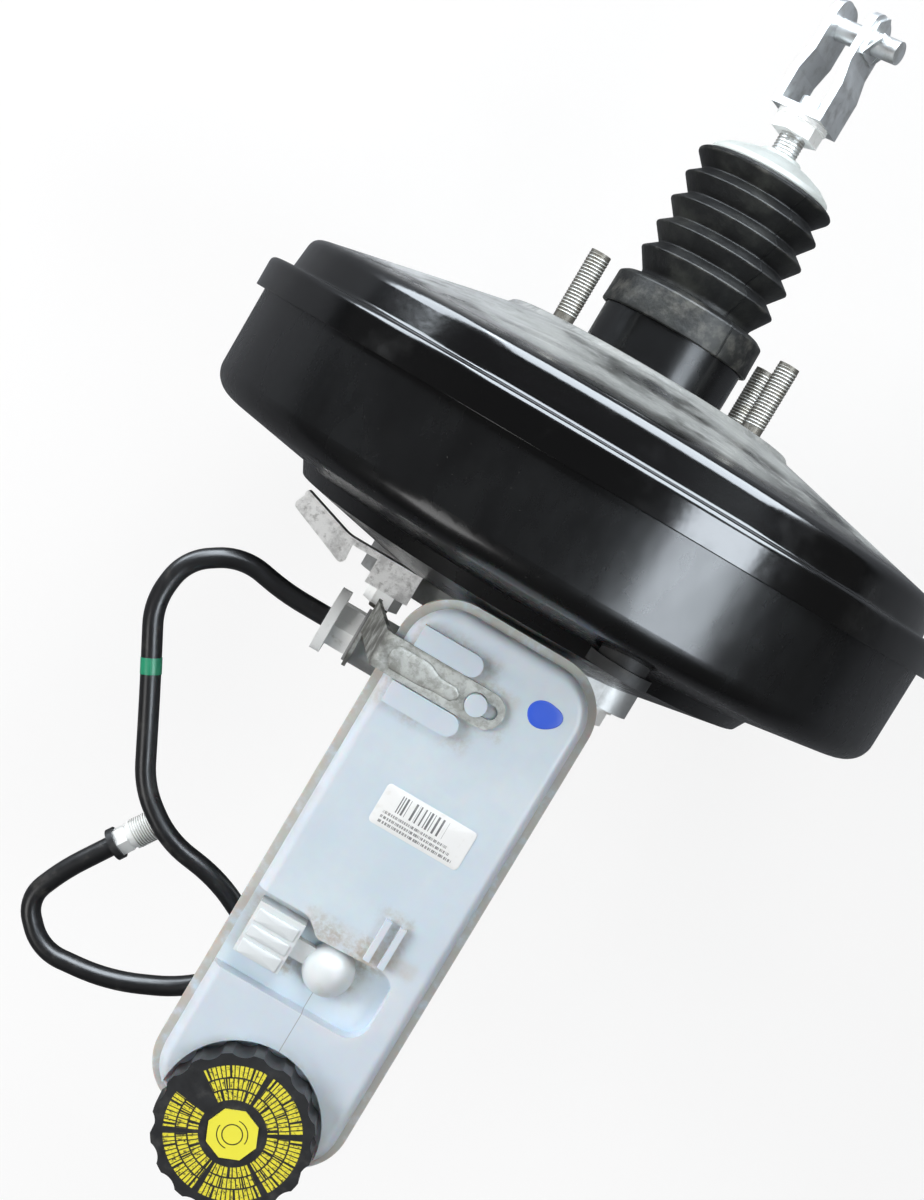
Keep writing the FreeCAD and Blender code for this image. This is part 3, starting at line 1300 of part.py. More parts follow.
def coil(label, mean_radius, wire_size, front, rear, turns):
    """Square-wire spring about the axis between two seats, built from flat facets."""
    radius = float(mean_radius)
    wire = float(wire_size)
    start_y = float(front + d.spring_gap)
    end_y = float(rear - d.spring_gap)
    steps = 8
    count = turns * steps
    rise = (end_y - start_y - wire) / count
    half = wire / 2
    rings = []
    for i in range(count + 1):
        angle = 2 * math.pi * i / steps
        y = start_y + half + rise * i
        ring = []
        for out, up in ((-half, -half), (half, -half), (half, half), (-half, half)):
            spot = radius + out
            ring.append(Vector(spot * math.cos(angle), y + up, spot * math.sin(angle)))
        rings.append(ring)
    faces = []
    for near, far in zip(rings, rings[1:]):
        for j in range(4):
            a, b, c, e = near[j], near[(j + 1) % 4], far[(j + 1) % 4], far[j]
            if j % 2:
                faces.append(Part.Face(Part.makePolygon([a, b, c, e, a])))
            else:
                faces.append(Part.Face(Part.makePolygon([a, b, c, a])))
                faces.append(Part.Face(Part.makePolygon([a, c, e, a])))
    for ring in (rings[0], rings[-1]):
        faces.append(Part.Face(Part.makePolygon(ring + [ring[0]])))
    solid = Part.Solid(Part.makeShell(faces))
    solid.fixTolerance(1e-6)
    if solid.Volume < 0:
        solid.reverse()
    plain_feature(label, solid)


def springs():
    """Every coil spring, each between its two seats."""
    coil("return_spring", d.return_coil, d.return_wire, boss_inside, -d.hub_front, 5)
    first_front = -(d.primary_rear + d.primary_length)
    second_rear = first_front - d.primary_spring_length
    coil("primary_spring", d.piston_coil, d.piston_wire, second_rear, first_front, 5)
    bore_end = -(barrel_front - d.barrel_end_wall)
    coil("secondary_spring", d.piston_coil, d.piston_wire, bore_end, second_rear - d.secondary_length, 5)
    coil("poppet_spring", d.poppet_coil, d.poppet_wire, valve_y + d.running_gap + d.poppet_thick,
         -d.retainer_thick, 3)
    coil("rod_spring", d.rod_coil, d.rod_wire, sized(0), d.rod_collar_back, 3)


def piston(label, rear, length, socket):
    """Master cylinder piston with two cup grooves, and a rod socket where it has one."""
    radius = d.bore_radius - d.running_gap
    deep = radius - d.cup_groove
    front = rear - length
    corners = [(0, rear), (radius, rear)]
    if socket:
        room = d.push_radius + d.running_gap * 3
        end = radius - d.cup_groove
        corners = [(0, rear - d.socket_depth), (room, rear - d.socket_depth), (room, rear), (end, rear),
                   (end, rear - d.cup_width), (radius, rear - d.cup_width)]
    for centre in (rear - length * 0.42, front + 6):
        corners += [(radius, centre + d.cup_width / 2), (deep, centre + d.cup_width / 2),
                    (deep, centre - d.cup_width / 2), (radius, centre - d.cup_width / 2)]
    corners += [(radius, front), (0, front)]
    turned(label, corners)


def cups(label, rear, length):
    """The two rubber cups of a piston."""
    body = new_body(label)
    radius = d.bore_radius - d.running_gap
    width = d.cup_width - 0.2
    front = rear - length
    for name, centre in (("rear_cup", rear - length * 0.42), ("front_cup", front + 6)):
        turn(body, name, [
            (radius - d.cup_groove, centre - width / 2),
            (radius, centre - width / 2),
            (radius, centre + width / 2),
            (radius - d.cup_groove, centre + width / 2),
        ])


def pistons():
    """Both pistons of the master cylinder with their cups."""
    rear = -d.primary_rear
    piston("primary_piston", rear, d.primary_length, True)
    cups("primary_cups", rear, d.primary_length)
    second = rear - d.primary_length - d.primary_spring_length
    piston("secondary_piston", second, d.secondary_length, False)
    cups("secondary_cups", second, d.secondary_length)


def input_rod():
    """Rod with the ball in the plunger, a spring collar and the thread for the clevis."""
    body = turned("input_rod", [
        (0, -d.ball_ahead + 2),
        (3.2, -d.ball_ahead + 2),
        (3.2, -3),
        (d.rod_radius, 0),
        (d.rod_radius, d.rod_end),
        (0, d.rod_end),
    ])
    doc.recompute()
    ball = body.newObject("PartDesign::AdditiveSphere", "ball")
    place(ball, "+Z", (0, -d.ball_ahead, 0))
    tie(ball, "Radius", d.ball_radius)
    cylinder(body, "spring_collar", True, "+Y", (0, d.rod_collar_back, 0), d.rod_coil + 1.6, 1.6)


def lock_nut():
    """Nut that locks the clevis on the rod."""
    body = new_body("lock_nut")
    y = d.nut_rear - d.lock_nut_height
    hexagon(body, "hex", True, "+Y", (0, y, 0), d.lock_nut_flats, d.lock_nut_height - 1)
    cylinder(body, "face", True, "-Y", (0, d.nut_rear, 0), d.lock_nut_face, d.lock_nut_face_thick)
    cylinder(body, "bore", False, "+Y", (0, y - 1, 0), d.rod_radius + d.running_gap, d.lock_nut_height + 2)


def boot_end_disc():
    """Pale plastic disc on the rod that closes the boot."""
    body = new_body("boot_end_disc")
    y = boot_rear
    cylinder(body, "disc", True, "+Y", (0, y, 0), d.end_disc_radius, d.end_disc_thick)
    cylinder(body, "hub", True, "+Y", (0, y, 0), d.rod_radius + 2.5, d.end_disc_thick + 2)
    cylinder(body, "bore", False, "+Y", (0, y - 1, 0), d.rod_radius + d.running_gap, d.end_disc_thick + 4)


def dust_boot():
    """Bellows with five sharp folds, from the neck to the disc on the rod."""
    tip = d.boot_tip_radius
    valley = d.boot_valley_radius
    bore = d.tail_radius + 1.5
    corners = [
        (d.neck_radius + d.running_gap, d.boot_ring_front),
        (d.boot_ring_radius + d.boot_flare, d.boot_ring_front),
        (d.boot_ring_radius, d.boot_ring_rear),
        (valley, boot_start - 1.0),
    ]
    for fold in range(5):
        corners.append((tip, boot_start + d.boot_pitch * (d.boot_lean + fold)))
        if fold < 4:
            corners.append((valley, boot_start + d.boot_pitch * (fold + 1)))
    corners += [
        (d.end_disc_radius + 2.5, boot_rear + d.end_disc_thick),
        (d.end_disc_radius + 0.1, boot_rear + d.end_disc_thick),
        (d.end_disc_radius + 0.1, boot_rear - 0.2),
        (bore, boot_rear - 0.2),
        (bore, d.neck_length + 0.2),
        (d.neck_radius + d.running_gap, d.neck_length + 0.2),
    ]
    turned("dust_boot", corners)


def fork(corners_left, body):
    """Pad one arm outline and its mirror image for the clevis."""
    half = d.clevis_depth / 2
    extrude(body, "left_arm", "XY_Plane", corners_left, -half, d.clevis_depth)
    mirrored = [(-sized(x), y) for x, y in reversed(corners_left)]
    extrude(body, "right_arm", "XY_Plane", mirrored, -half, d.clevis_depth)


def roll_clevis(body):
    """Turn a body by the clevis's roll about the rod."""
    body.Placement = FreeCAD.Placement(Vector(), Rotation(Vector(0, -1, 0), float(d.clevis_roll)))
    body.setExpression("Placement.Rotation.Angle", "Sizes.clevis_roll * 1 deg")


def clevis():
    """Stamped fork: a base on the rod and two arms joggled in towards the pin."""
    body = new_body("clevis")
    base = d.nut_rear
    wide = d.clevis_width / 2
    narrow = d.clevis_narrow / 2
    t = d.clevis_sheet
    end = base + d.clevis_reach
    half = d.clevis_depth / 2
    block(body, "base", True, (-wide, base, -half), (wide, base + t, half))
    fork([
        (-wide, base),
        (-wide + t, base),
        (-wide + t, base + 15),
        (-narrow + t, base + 24),
        (-narrow + t, end),
        (-narrow, end),
        (-narrow, base + 25),
        (-wide, base + 16),
    ], body)
    cylinder(body, "rod_hole", False, "+Y", (0, base - 1, 0), d.rod_radius + d.running_gap, t + 2)
    cylinder(body, "pin_hole", False, "+X", (-narrow - 1, pin_y, 0), d.pin_radius + d.running_gap,
             narrow * 2 + 2)
    soften(body, "arm_ends", arm_end_edge(end, half), half - 2.5)
    roll_clevis(body)


def arm_end_edge(end, half):
    """Test for the outer corner edges at the arms' free ends."""
    def test(edge):
        first, last = edge.Vertexes[0].Point, edge.Vertexes[-1].Point
        level = abs(first.y - float(end)) < 1e-4 and abs(last.y - float(end)) < 1e-4
        side = abs(abs(first.z) - float(half)) < 1e-4 and abs(first.z - last.z) < 1e-4
        return level and side
    return test


def clevis_pin():
    """Pin through the clevis."""
    body = new_body("clevis_pin")
    start = -(d.clevis_narrow / 2) - d.pin_head
    cylinder(body, "pin", True, "+X", (start, pin_y, 0), d.pin_radius, d.pin_length)
    cylinder(body, "head", True, "+X", (start, pin_y, 0), d.pin_radius + 1.6, d.pin_head - d.running_gap)
    roll_clevis(body)


def spring_clip():
    """Spring steel clip over the right arm that keeps the pin in."""
    body = new_body("spring_clip")
    x = d.clevis_narrow / 2
    extrude(body, "leaf", "YZ_Plane", [
        (pin_y - 7, -6.5),
        (pin_y + 6, -6.5),
        (pin_y + 10.5, 0),
        (pin_y + 6, 6.5),
        (pin_y - 7, 6.5),
    ], x + 0.05, 0.9)
    cylinder(body, "hole", False, "+X", (x - 1, pin_y, 0), d.pin_radius + d.running_gap * 3, 4)
    extrude(body, "upper_leg", "XY_Plane", [
        (x + 0.05, pin_y - 6),
        (x + 0.95, pin_y - 6),
        (x + 5.5, pin_y + 2.5),
        (x + 4.7, pin_y + 3.0),
    ], 4.6, 1.9)
    extrude(body, "lower_leg", "XY_Plane", [
        (x + 0.05, pin_y - 6),
        (x + 0.95, pin_y - 6),
        (x + 5.5, pin_y + 2.5),
        (x + 4.7, pin_y + 3.0),
    ], -6.5, 1.9)
    roll_clevis(body)


for make in (front_shell, rear_shell, neck_sleeve, bulkhead_studs, cylinder_studs, cylinder_nuts,
             front_seal, neck_seal, vacuum_grommet, cylinder_body, cylinder_circlip, reservoir_grommets,
             reservoir_lower, reservoir_upper, reservoir_strap, pipe_union, brake_pipe, pipe_end_nut,
             nut_collar, level_sensor, level_float, cap_seal, filler_cap, harness_bracket, dust_boot,
             diaphragm, springs, valve_body, diaphragm_plate, reaction_disc, output_rod, air_filter,
             poppet_valve, poppet_retainer, stop_key, valve_plunger, input_rod, lock_nut, boot_end_disc,
             clevis, clevis_pin, spring_clip, pistons):
    make()

doc.recompute()
for feature in doc.Objects:
    if "Invalid" in feature.State or "Error" in feature.State:
        raise RuntimeError(f"{feature.Name} of {feature.Label} failed: {feature.State}")
for piece in pieces:
    if piece.Shape.isNull() or not piece.Shape.isValid():
        raise RuntimeError(f"{piece.Label} has no valid shape")

os.makedirs("parts", exist_ok=True)
for piece in pieces:
    piece.Shape.exportStep(f"parts/{piece.Label}.step")
print(len(pieces), "sub-parts written")
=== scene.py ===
"""Looks of a vacuum brake booster with its master cylinder, reservoir, pipe and pedal clevis."""

import math

import bpy
import numpy as np
from mathutils import Matrix, Vector


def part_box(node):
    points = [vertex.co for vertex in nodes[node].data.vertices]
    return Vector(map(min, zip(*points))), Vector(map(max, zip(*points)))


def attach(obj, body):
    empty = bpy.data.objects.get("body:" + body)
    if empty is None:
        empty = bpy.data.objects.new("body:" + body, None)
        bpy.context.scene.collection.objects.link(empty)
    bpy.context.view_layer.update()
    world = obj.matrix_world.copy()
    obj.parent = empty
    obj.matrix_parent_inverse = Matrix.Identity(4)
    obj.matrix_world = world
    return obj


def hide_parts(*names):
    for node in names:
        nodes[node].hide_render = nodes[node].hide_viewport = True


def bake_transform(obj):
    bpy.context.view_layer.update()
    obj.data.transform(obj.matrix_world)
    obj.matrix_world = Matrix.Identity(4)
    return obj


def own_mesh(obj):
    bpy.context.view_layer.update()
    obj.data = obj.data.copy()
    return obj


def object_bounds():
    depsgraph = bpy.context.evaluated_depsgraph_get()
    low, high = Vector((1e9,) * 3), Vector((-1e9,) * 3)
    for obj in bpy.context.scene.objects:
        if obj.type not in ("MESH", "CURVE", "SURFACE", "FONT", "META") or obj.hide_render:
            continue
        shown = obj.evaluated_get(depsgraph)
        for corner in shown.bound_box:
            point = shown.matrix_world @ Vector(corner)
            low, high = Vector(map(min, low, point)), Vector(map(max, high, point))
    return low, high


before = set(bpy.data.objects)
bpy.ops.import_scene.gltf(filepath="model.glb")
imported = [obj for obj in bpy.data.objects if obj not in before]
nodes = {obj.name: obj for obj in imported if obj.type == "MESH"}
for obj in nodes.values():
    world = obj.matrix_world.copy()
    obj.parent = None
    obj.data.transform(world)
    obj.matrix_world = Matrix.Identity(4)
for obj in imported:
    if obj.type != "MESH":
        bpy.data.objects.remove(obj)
scene = bpy.context.scene
cad_box = [list(corner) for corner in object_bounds()]

MM = 0.001
AXES = {"x": 0, "y": 1, "z": 2}

# Places that the looks share, in metres, from the frame's own boxes where it has them
LEFT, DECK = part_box("reservoir_upper")[0][0], 94.5 * MM
SEAM = (82.8 * MM, 87.2 * MM)
CREST = 136 * MM
cap_low, cap_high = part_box("filler_cap")
CAP = ((cap_low[0] + cap_high[0]) / 2, (cap_low[1] + cap_high[1]) / 2, cap_high[2] - 0.8 * MM)
float_low, float_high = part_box("level_float")
FLOAT = ((float_low[0] + float_high[0]) / 2, (float_low[1] + float_high[1]) / 2)
STRAP_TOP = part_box("reservoir_strap")[1][2]
STRAP_Y = -129 * MM
plug_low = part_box("level_sensor")[0]

# Studs on the bulkhead face and on the cylinder's flange, in mm
STUD_X, STUD_Z, FLANGE_STUD_X = 40, 30, 45

# The label's corners, and the dirt and painted shade round boxes on the deck: corners, reach
# outside and strength
LABEL = ((-11 * MM, -182 * MM), (24 * MM, -167 * MM))
DIRT_AND_SHADE = (
    ((-28 * MM, -122 * MM), (0 * MM, -114 * MM), 5 * MM, 0.45),
    ((-28 * MM, -144 * MM), (3 * MM, -135 * MM), 6 * MM, 0.5),
    ((-28 * MM, -136 * MM), (12 * MM, -122 * MM), 4 * MM, 0.55),
    ((-27.9 * MM, -243 * MM), (-10 * MM, -224 * MM), 5 * MM, 0.6),
    ((-5 * MM, -238 * MM), (13 * MM, -226 * MM), 9 * MM, 0.8),
    ((11 * MM, -226 * MM), (20 * MM, -207 * MM), 5 * MM, 0.6),
    ((-11 * MM, -222 * MM), (29 * MM, -219 * MM), 4 * MM, 0.5),
)


# Materials

class Finish:
    """One procedural material: a principled shader and the nodes that feed it, in metres."""

    def __init__(self, name, colour, rough, metal=0.0, **sockets):
        self.material = bpy.data.materials.new(name)
        self.material.use_nodes = True
        self.tree = self.material.node_tree
        self.shader = self.tree.nodes["Principled BSDF"]
        self.shader.inputs["Base Color"].default_value = (*colour, 1)
        self.shader.inputs["Roughness"].default_value = rough
        self.shader.inputs["Metallic"].default_value = metal
        for socket, value in sockets.items():
            self.shader.inputs[socket.replace("_", " ")].default_value = value
        self.place = self.node("ShaderNodeTexCoord").outputs["Object"]

    def node(self, kind, **settings):
        """A new node with its settings."""
        made = self.tree.nodes.new(kind)
        for key, value in settings.items():
            setattr(made, key, value)
        return made

    def link(self, source, target):
        """Link a socket to the target, or set the target to a number."""
        if hasattr(source, "links"):
            self.tree.links.new(source, target)
        else:
            target.default_value = source

    def math(self, how, first, second=0.0):
        """Result of one operation on sockets or numbers."""
        made = self.node("ShaderNodeMath", operation=how)
        for value, socket in zip((first, second), made.inputs):
            self.link(value, socket)
        return made.outputs[0]

    def axis(self, name):
        """One coordinate of the piece, in metres."""
        split = self.node("ShaderNodeSeparateXYZ")
        self.link(self.place, split.inputs[0])
        return split.outputs[AXES[name]]

    def noise(self, scale, detail, rough=0.6, stretch=(1, 1, 1)):
        """Cloudy noise from 0 to 1; scale is cells per metre."""
        mapping = self.node("ShaderNodeMapping")
        self.link(self.place, mapping.inputs["Vector"])
        mapping.inputs["Scale"].default_value = stretch
        made = self.node("ShaderNodeTexNoise")
        self.link(mapping.outputs[0], made.inputs["Vector"])
        made.inputs["Scale"].default_value = scale
        made.inputs["Detail"].default_value = detail
        made.inputs["Roughness"].default_value = rough
        return made.outputs[0]

    def cells(self, scale):
        """Random value of each Voronoi cell; scale is cells per metre."""
        made = self.node("ShaderNodeTexVoronoi", feature="F1")
        self.link(self.place, made.inputs["Vector"])
        made.inputs["Scale"].default_value = scale
        return made.outputs["Color"]

    def step(self, value, low, high):
        """Smooth step from 0 at low to 1 at high, also where low is the larger."""
        made = self.node("ShaderNodeMapRange", interpolation_type="SMOOTHSTEP")
        self.link(value, made.inputs["Value"])
        made.inputs["From Min"].default_value = min(low, high)
        made.inputs["From Max"].default_value = max(low, high)
        if low > high:
            return self.math("SUBTRACT", 1.0, made.outputs[0])
        return made.outputs[0]

    def radius(self, centre, across=("x", "z")):
        """Distance from an axis through centre, measured on two coordinates."""
        parts = [self.math("POWER", self.math("SUBTRACT", self.axis(name), middle), 2.0)
                 for name, middle in zip(across, centre)]
        return self.math("SQRT", self.math("ADD", *parts))

    def angle(self, centre, across=("x", "z")):
        """Angle about an axis through centre as a share of a turn, from -0.5 to 0.5."""
        first, second = (self.math("SUBTRACT", self.axis(name), middle)
                         for name, middle in zip(across, centre))
        return self.math("DIVIDE", self.math("ARCTAN2", second, first), 2 * math.pi)

    def band(self, value, low, high, soft=0.00004):
        """1 between low and high, with soft edges."""
        return self.math("MULTIPLY", self.step(value, low - soft, low + soft),
                         self.step(value, high + soft, high - soft))

    def both(self, *masks):
        """Product of masks."""
        product = masks[0]
        for mask in masks[1:]:
            product = self.math("MULTIPLY", product, mask)
        return product

    def rim_of(self, low, high, reach):
        """Fades from 1 at the edge of an upright box to 0 at reach outside it.

        The box is given by its low and high (x, y) corners.
        """
        parts = []
        for name, start, end in zip("xy", low, high):
            off = self.math("ABSOLUTE", self.math("SUBTRACT", self.axis(name), (start + end) / 2))
            outside = self.math("MAXIMUM", self.math("SUBTRACT", off, (end - start) / 2), 0.0)
            parts.append(self.math("POWER", outside, 2.0))
        away = self.math("SQRT", self.math("ADD", *parts))
        return self.step(away, reach, 0.0)

    def colour_of(self):
        """What the shader's colour is now: a socket or a plain colour."""
        socket = self.shader.inputs["Base Color"]
        return socket.links[0].from_socket if socket.links else tuple(socket.default_value)

    def tint(self, mask, colour, most=1.0):
        """Colour laid over what is there, where mask is 1."""
        mix = self.node("ShaderNodeMix", data_type="RGBA")
        self.link(self.math("MULTIPLY", mask, most), mix.inputs[0])
        self.link(self.colour_of(), mix.inputs[6])
        mix.inputs[7].default_value = (*colour, 1)
        self.tree.links.new(mix.outputs[2], self.shader.inputs["Base Color"])

    def roughen(self, mask, low, high):
        """Roughness from low to high with the mask."""
        made = self.node("ShaderNodeMapRange")
        self.link(mask, made.inputs["Value"])
        made.inputs["To Min"].default_value = low
        made.inputs["To Max"].default_value = high
        self.tree.links.new(made.outputs[0], self.shader.inputs["Roughness"])

    def emboss(self, height, depth):
        """Bump whose full height is depth, in metres, over any bump that is there."""
        bump = self.node("ShaderNodeBump")
        self.link(height, bump.inputs["Height"])
        bump.inputs["Strength"].default_value = 1.0
        bump.inputs["Distance"].default_value = depth
        before = self.shader.inputs["Normal"].links
        if before:
            self.link(before[0].from_socket, bump.inputs["Normal"])
        self.tree.links.new(bump.outputs[0], self.shader.inputs["Normal"])

    def wear(self, *pieces):
        """Give this finish to pieces, each an object or a node's name."""
        for piece in pieces:
            piece = nodes[piece] if isinstance(piece, str) else piece
            piece.data.materials.clear()
            piece.data.materials.append(self.material)


def gloss_black():
    """Deep gloss paint of the front shell, with a thin film of dust and fine specks."""
    paint = Finish("gloss_black_paint", (0.002, 0.002, 0.0022), 0.24,
                   Coat_Weight=0.1, Coat_Roughness=0.12)
    dust = paint.step(paint.noise(38, 6), 0.56, 0.85)
    paint.tint(dust, (0.02, 0.0195, 0.018), 0.25)
    speck = paint.step(paint.noise(900, 2), 0.72, 0.8)
    paint.tint(speck, (0.30, 0.29, 0.28), 0.2)
    paint.roughen(paint.noise(45, 6, 0.6, (1, 0.5, 1)), 0.16, 0.38)
    paint.emboss(paint.noise(24, 3), 0.0004)
    return paint


def dusty_black():
    """Rear cover's paint: glossy at the rim, under smeared road dust on the shallow cone, paler on
    the cone's left side with dust and painted light.
    """
    paint = Finish("dusty_black_paint", (0.002, 0.002, 0.0022), 0.3,
                   Coat_Weight=0.2, Coat_Roughness=0.1)
    away = paint.radius((0, 0))
    cone = paint.step(away, CREST - 2 * MM, CREST - 26 * MM)
    smear = paint.both(cone, paint.step(paint.noise(17, 9, 0.68, (1, 2.6, 1)), 0.3, 0.58))
    streak = paint.both(cone, paint.step(paint.noise(60, 7, 0.75, (0.5, 1, 2.2)), 0.5, 0.66))
    thin = paint.step(paint.noise(34, 7), 0.5, 0.8)
    paint.tint(thin, (0.05, 0.05, 0.048), 0.25)
    paint.tint(smear, (0.42, 0.435, 0.41), 0.85)
    paint.tint(streak, (0.60, 0.61, 0.60), 0.5)
    grit = paint.both(cone, paint.step(paint.noise(520, 4, 0.7), 0.58, 0.7))
    paint.tint(grit, (0.62, 0.62, 0.6), 0.4)
    # Pale streaks on the cone's left side: dust, and painted light from the left
    left = paint.both(paint.step(paint.axis("x"), -15 * MM, -85 * MM),
                      paint.step(away, CREST, CREST - 6 * MM),
                      paint.step(paint.noise(48, 8, 0.75, (1, 2.5, 1)), 0.34, 0.56))
    paint.tint(left, (0.62, 0.64, 0.65), 0.85)
    paint.roughen(paint.math("MAXIMUM", smear, paint.math("MULTIPLY", thin, 0.25)), 0.16, 0.8)
    paint.emboss(paint.noise(30, 4), 0.0003)
    return paint


def zinc():
    """Zinc plate with a faint yellow cast and fine scratches."""
    metal = Finish("zinc_plate", (0.66, 0.67, 0.67), 0.3, 0.9)
    metal.tint(metal.step(metal.noise(160, 5), 0.45, 0.75), (0.36, 0.35, 0.32), 0.6)
    metal.roughen(metal.noise(300, 4), 0.2, 0.5)
    metal.emboss(metal.noise(1500, 2), 0.00001)
    return metal


def painted_lit_zinc():
    """Zinc of the pipe union, the lock nut and the nuts, made pale and dull: painted light, a lit
    copy of the zinc for the parts that face the light.
    """
    metal = Finish("painted_lit_zinc", (0.90, 0.91, 0.90), 0.5, 0.05)
    metal.tint(metal.step(metal.noise(170, 6), 0.56, 0.74), (0.45, 0.43, 0.38), 0.5)
    metal.roughen(metal.noise(300, 4), 0.3, 0.6)
    return metal


def rusty_thread():
    """Grey zinc thread with brown dirt, and painted shade in the roots between the studs' ridges.
    """
    metal = Finish("thread_zinc", (0.42, 0.42, 0.40), 0.45, 0.6)
    metal.tint(metal.step(metal.noise(220, 6), 0.42, 0.68), (0.20, 0.175, 0.13), 0.6)
    for across, up in ((STUD_X * MM, STUD_Z * MM), (FLANGE_STUD_X * MM, 0.0)):
        away = metal.math("SQRT", metal.math("ADD", *(
            metal.math("POWER", metal.math("SUBTRACT", metal.math("ABSOLUTE", metal.axis(name)),
                                           place), 2.0)
            for name, place in (("x", across), ("z", up)))))
        # Painted shade: each stud's thread roots darkened, found by the distance from the stud's
        # axis
        root_shade = metal.both(metal.step(away, 4.2 * MM, 4.04 * MM),
                          metal.step(away, 3.2 * MM, 3.8 * MM))
        metal.tint(root_shade, (0.06, 0.05, 0.035), 0.85)
    metal.roughen(metal.noise(300, 4), 0.3, 0.65)
    return metal


def powdery_zinc():
    """Bracket's sheet: pale and powdery, with grey stains."""
    sheet = Finish("powdery_zinc", (0.80, 0.80, 0.79), 0.6, 0.05)
    sheet.tint(sheet.step(sheet.noise(110, 7, 0.7), 0.45, 0.62), (0.34, 0.335, 0.33), 0.6)
    sheet.tint(sheet.step(sheet.noise(420, 5, 0.7), 0.52, 0.68), (0.12, 0.11, 0.10), 0.5)
    sheet.roughen(sheet.noise(180, 5), 0.45, 0.8)
    sheet.emboss(sheet.noise(600, 5), 0.0002)
    return sheet


def galvanised():
    """Weathered galvanised sheet with spangle and brown dirt, darkest at its left end with dirt and
    painted shade where it bends down.
    """
    sheet = Finish("galvanised_sheet", (0.40, 0.41, 0.39), 0.5, 0.3)
    sheet.tint(sheet.step(sheet.noise(260, 7, 0.7), 0.4, 0.62), (0.19, 0.19, 0.165), 0.7)
    sheet.tint(sheet.step(sheet.cells(420), 0.55, 0.9), (0.55, 0.56, 0.52), 0.35)
    # Dark left end: brown dirt, and painted shade where the strap bends down
    sheet.tint(sheet.both(sheet.step(sheet.axis("y"), -112 * MM, -122 * MM),
                          sheet.step(sheet.axis("x"), -24 * MM, -40 * MM),
                          sheet.step(sheet.noise(120, 6), 0.3, 0.6)), (0.05, 0.047, 0.038), 0.8)
    sheet.roughen(sheet.noise(180, 5), 0.38, 0.75)
    sheet.emboss(sheet.noise(700, 5), 0.00012)
    return sheet


def cast_metal():
    """Cast aluminium with a fine sand texture."""
    cast = Finish("cast_aluminium", (0.56, 0.56, 0.55), 0.5, 0.85)
    cast.tint(cast.step(cast.noise(110, 6), 0.5, 0.75), (0.30, 0.29, 0.27), 0.5)
    cast.roughen(cast.noise(220, 4), 0.4, 0.65)
    cast.emboss(cast.noise(1400, 4), 0.00008)
    return cast


def spring_steel():
    """Oiled spring steel."""
    steel = Finish("spring_steel", (0.30, 0.30, 0.31), 0.35, 1.0)
    steel.roughen(steel.noise(260, 4), 0.25, 0.5)
    steel.tint(steel.step(steel.noise(200, 5), 0.5, 0.7), (0.16, 0.13, 0.10), 0.5)
    return steel


def milky():
    """Milky bluish plastic: brown seam under a line of painted shade, dirt in the well and round
    the parts that stand on it, with painted shade round the deck's boxes.
    """
    body = Finish("milky_plastic", (0.60, 0.68, 0.76), 0.34, Subsurface_Weight=0.3,
                  Subsurface_Scale=0.01, Specular_IOR_Level=0.45)
    body.tint(body.step(body.noise(20, 4), 0.4, 0.7), (0.70, 0.76, 0.81), 0.7)
    up = body.axis("z")
    cloud = body.step(body.noise(75, 7, 0.65), 0.36, 0.66)
    fine = body.step(body.noise(520, 6, 0.7), 0.35, 0.65)
    brown = (0.33, 0.245, 0.15)
    seam = body.both(body.band(up, SEAM[0], SEAM[1], 0.0004),
                     body.step(body.noise(150, 6), 0.25, 0.55))
    body.tint(seam, (0.46, 0.39, 0.29), 0.7)
    # Painted shade: a thin dark line in the crease just above the seam
    seam_shade_line = body.both(body.band(up, SEAM[1], SEAM[1] + 0.4 * MM, 0.0002), cloud)
    body.tint(seam_shade_line, (0.10, 0.085, 0.065), 0.6)
    side = body.both(body.step(body.axis("x"), LEFT + 9 * MM, LEFT + 1 * MM), cloud)
    body.tint(side, (0.46, 0.42, 0.36), 0.35)
    dish = body.radius(CAP[:2], ("x", "y"))
    body.tint(body.both(body.step(dish, 33 * MM, 28.5 * MM), cloud), brown, 0.35)
    soft = body.step(body.noise(30, 3), 0.2, 0.7)
    flat = body.step(up, DECK + 1.2 * MM, DECK + 0.5 * MM)
    # Dirt and painted shade round the raised boxes on the deck
    for low, high, reach, most in DIRT_AND_SHADE:
        around = body.both(body.rim_of(low, high, reach), flat)
        body.tint(body.both(around, around, soft), (0.52, 0.47, 0.40), most * 0.8)
        body.tint(body.both(around, cloud, fine), brown, most * 0.7)
    line = body.both(body.band(body.axis("x"), CAP[0] - 0.25 * MM, CAP[0] + 0.05 * MM),
                     body.band(body.axis("y"), CAP[1] + 29 * MM, FLOAT[1] - 8 * MM))
    body.tint(line, (0.2, 0.19, 0.17), 0.6)
    body.roughen(body.noise(120, 4), 0.26, 0.46)
    body.emboss(body.noise(45, 3), 0.0005)
    return body


def white_plastic():
    """White moulded plastic with light dirt, browner where it is low in the well."""
    body = Finish("white_plastic", (0.70, 0.74, 0.76), 0.42,
                  Subsurface_Weight=0.15, Subsurface_Scale=0.006)
    low = body.both(body.step(body.axis("z"), 94 * MM, 88 * MM),
                    body.step(body.noise(140, 6), 0.3, 0.6))
    body.tint(low, (0.30, 0.245, 0.18), 0.6)
    body.tint(body.step(body.noise(120, 6), 0.52, 0.75), (0.55, 0.50, 0.44), 0.4)
    body.roughen(body.noise(200, 3), 0.35, 0.55)
    return body


def black_plastic():
    """Black moulded plastic."""
    body = Finish("black_plastic", (0.014, 0.014, 0.015), 0.35)
    body.tint(body.step(body.noise(150, 6), 0.5, 0.78), (0.10, 0.098, 0.09), 0.35)
    body.roughen(body.noise(260, 4), 0.28, 0.5)
    body.emboss(body.noise(1200, 3), 0.00003)
    return body


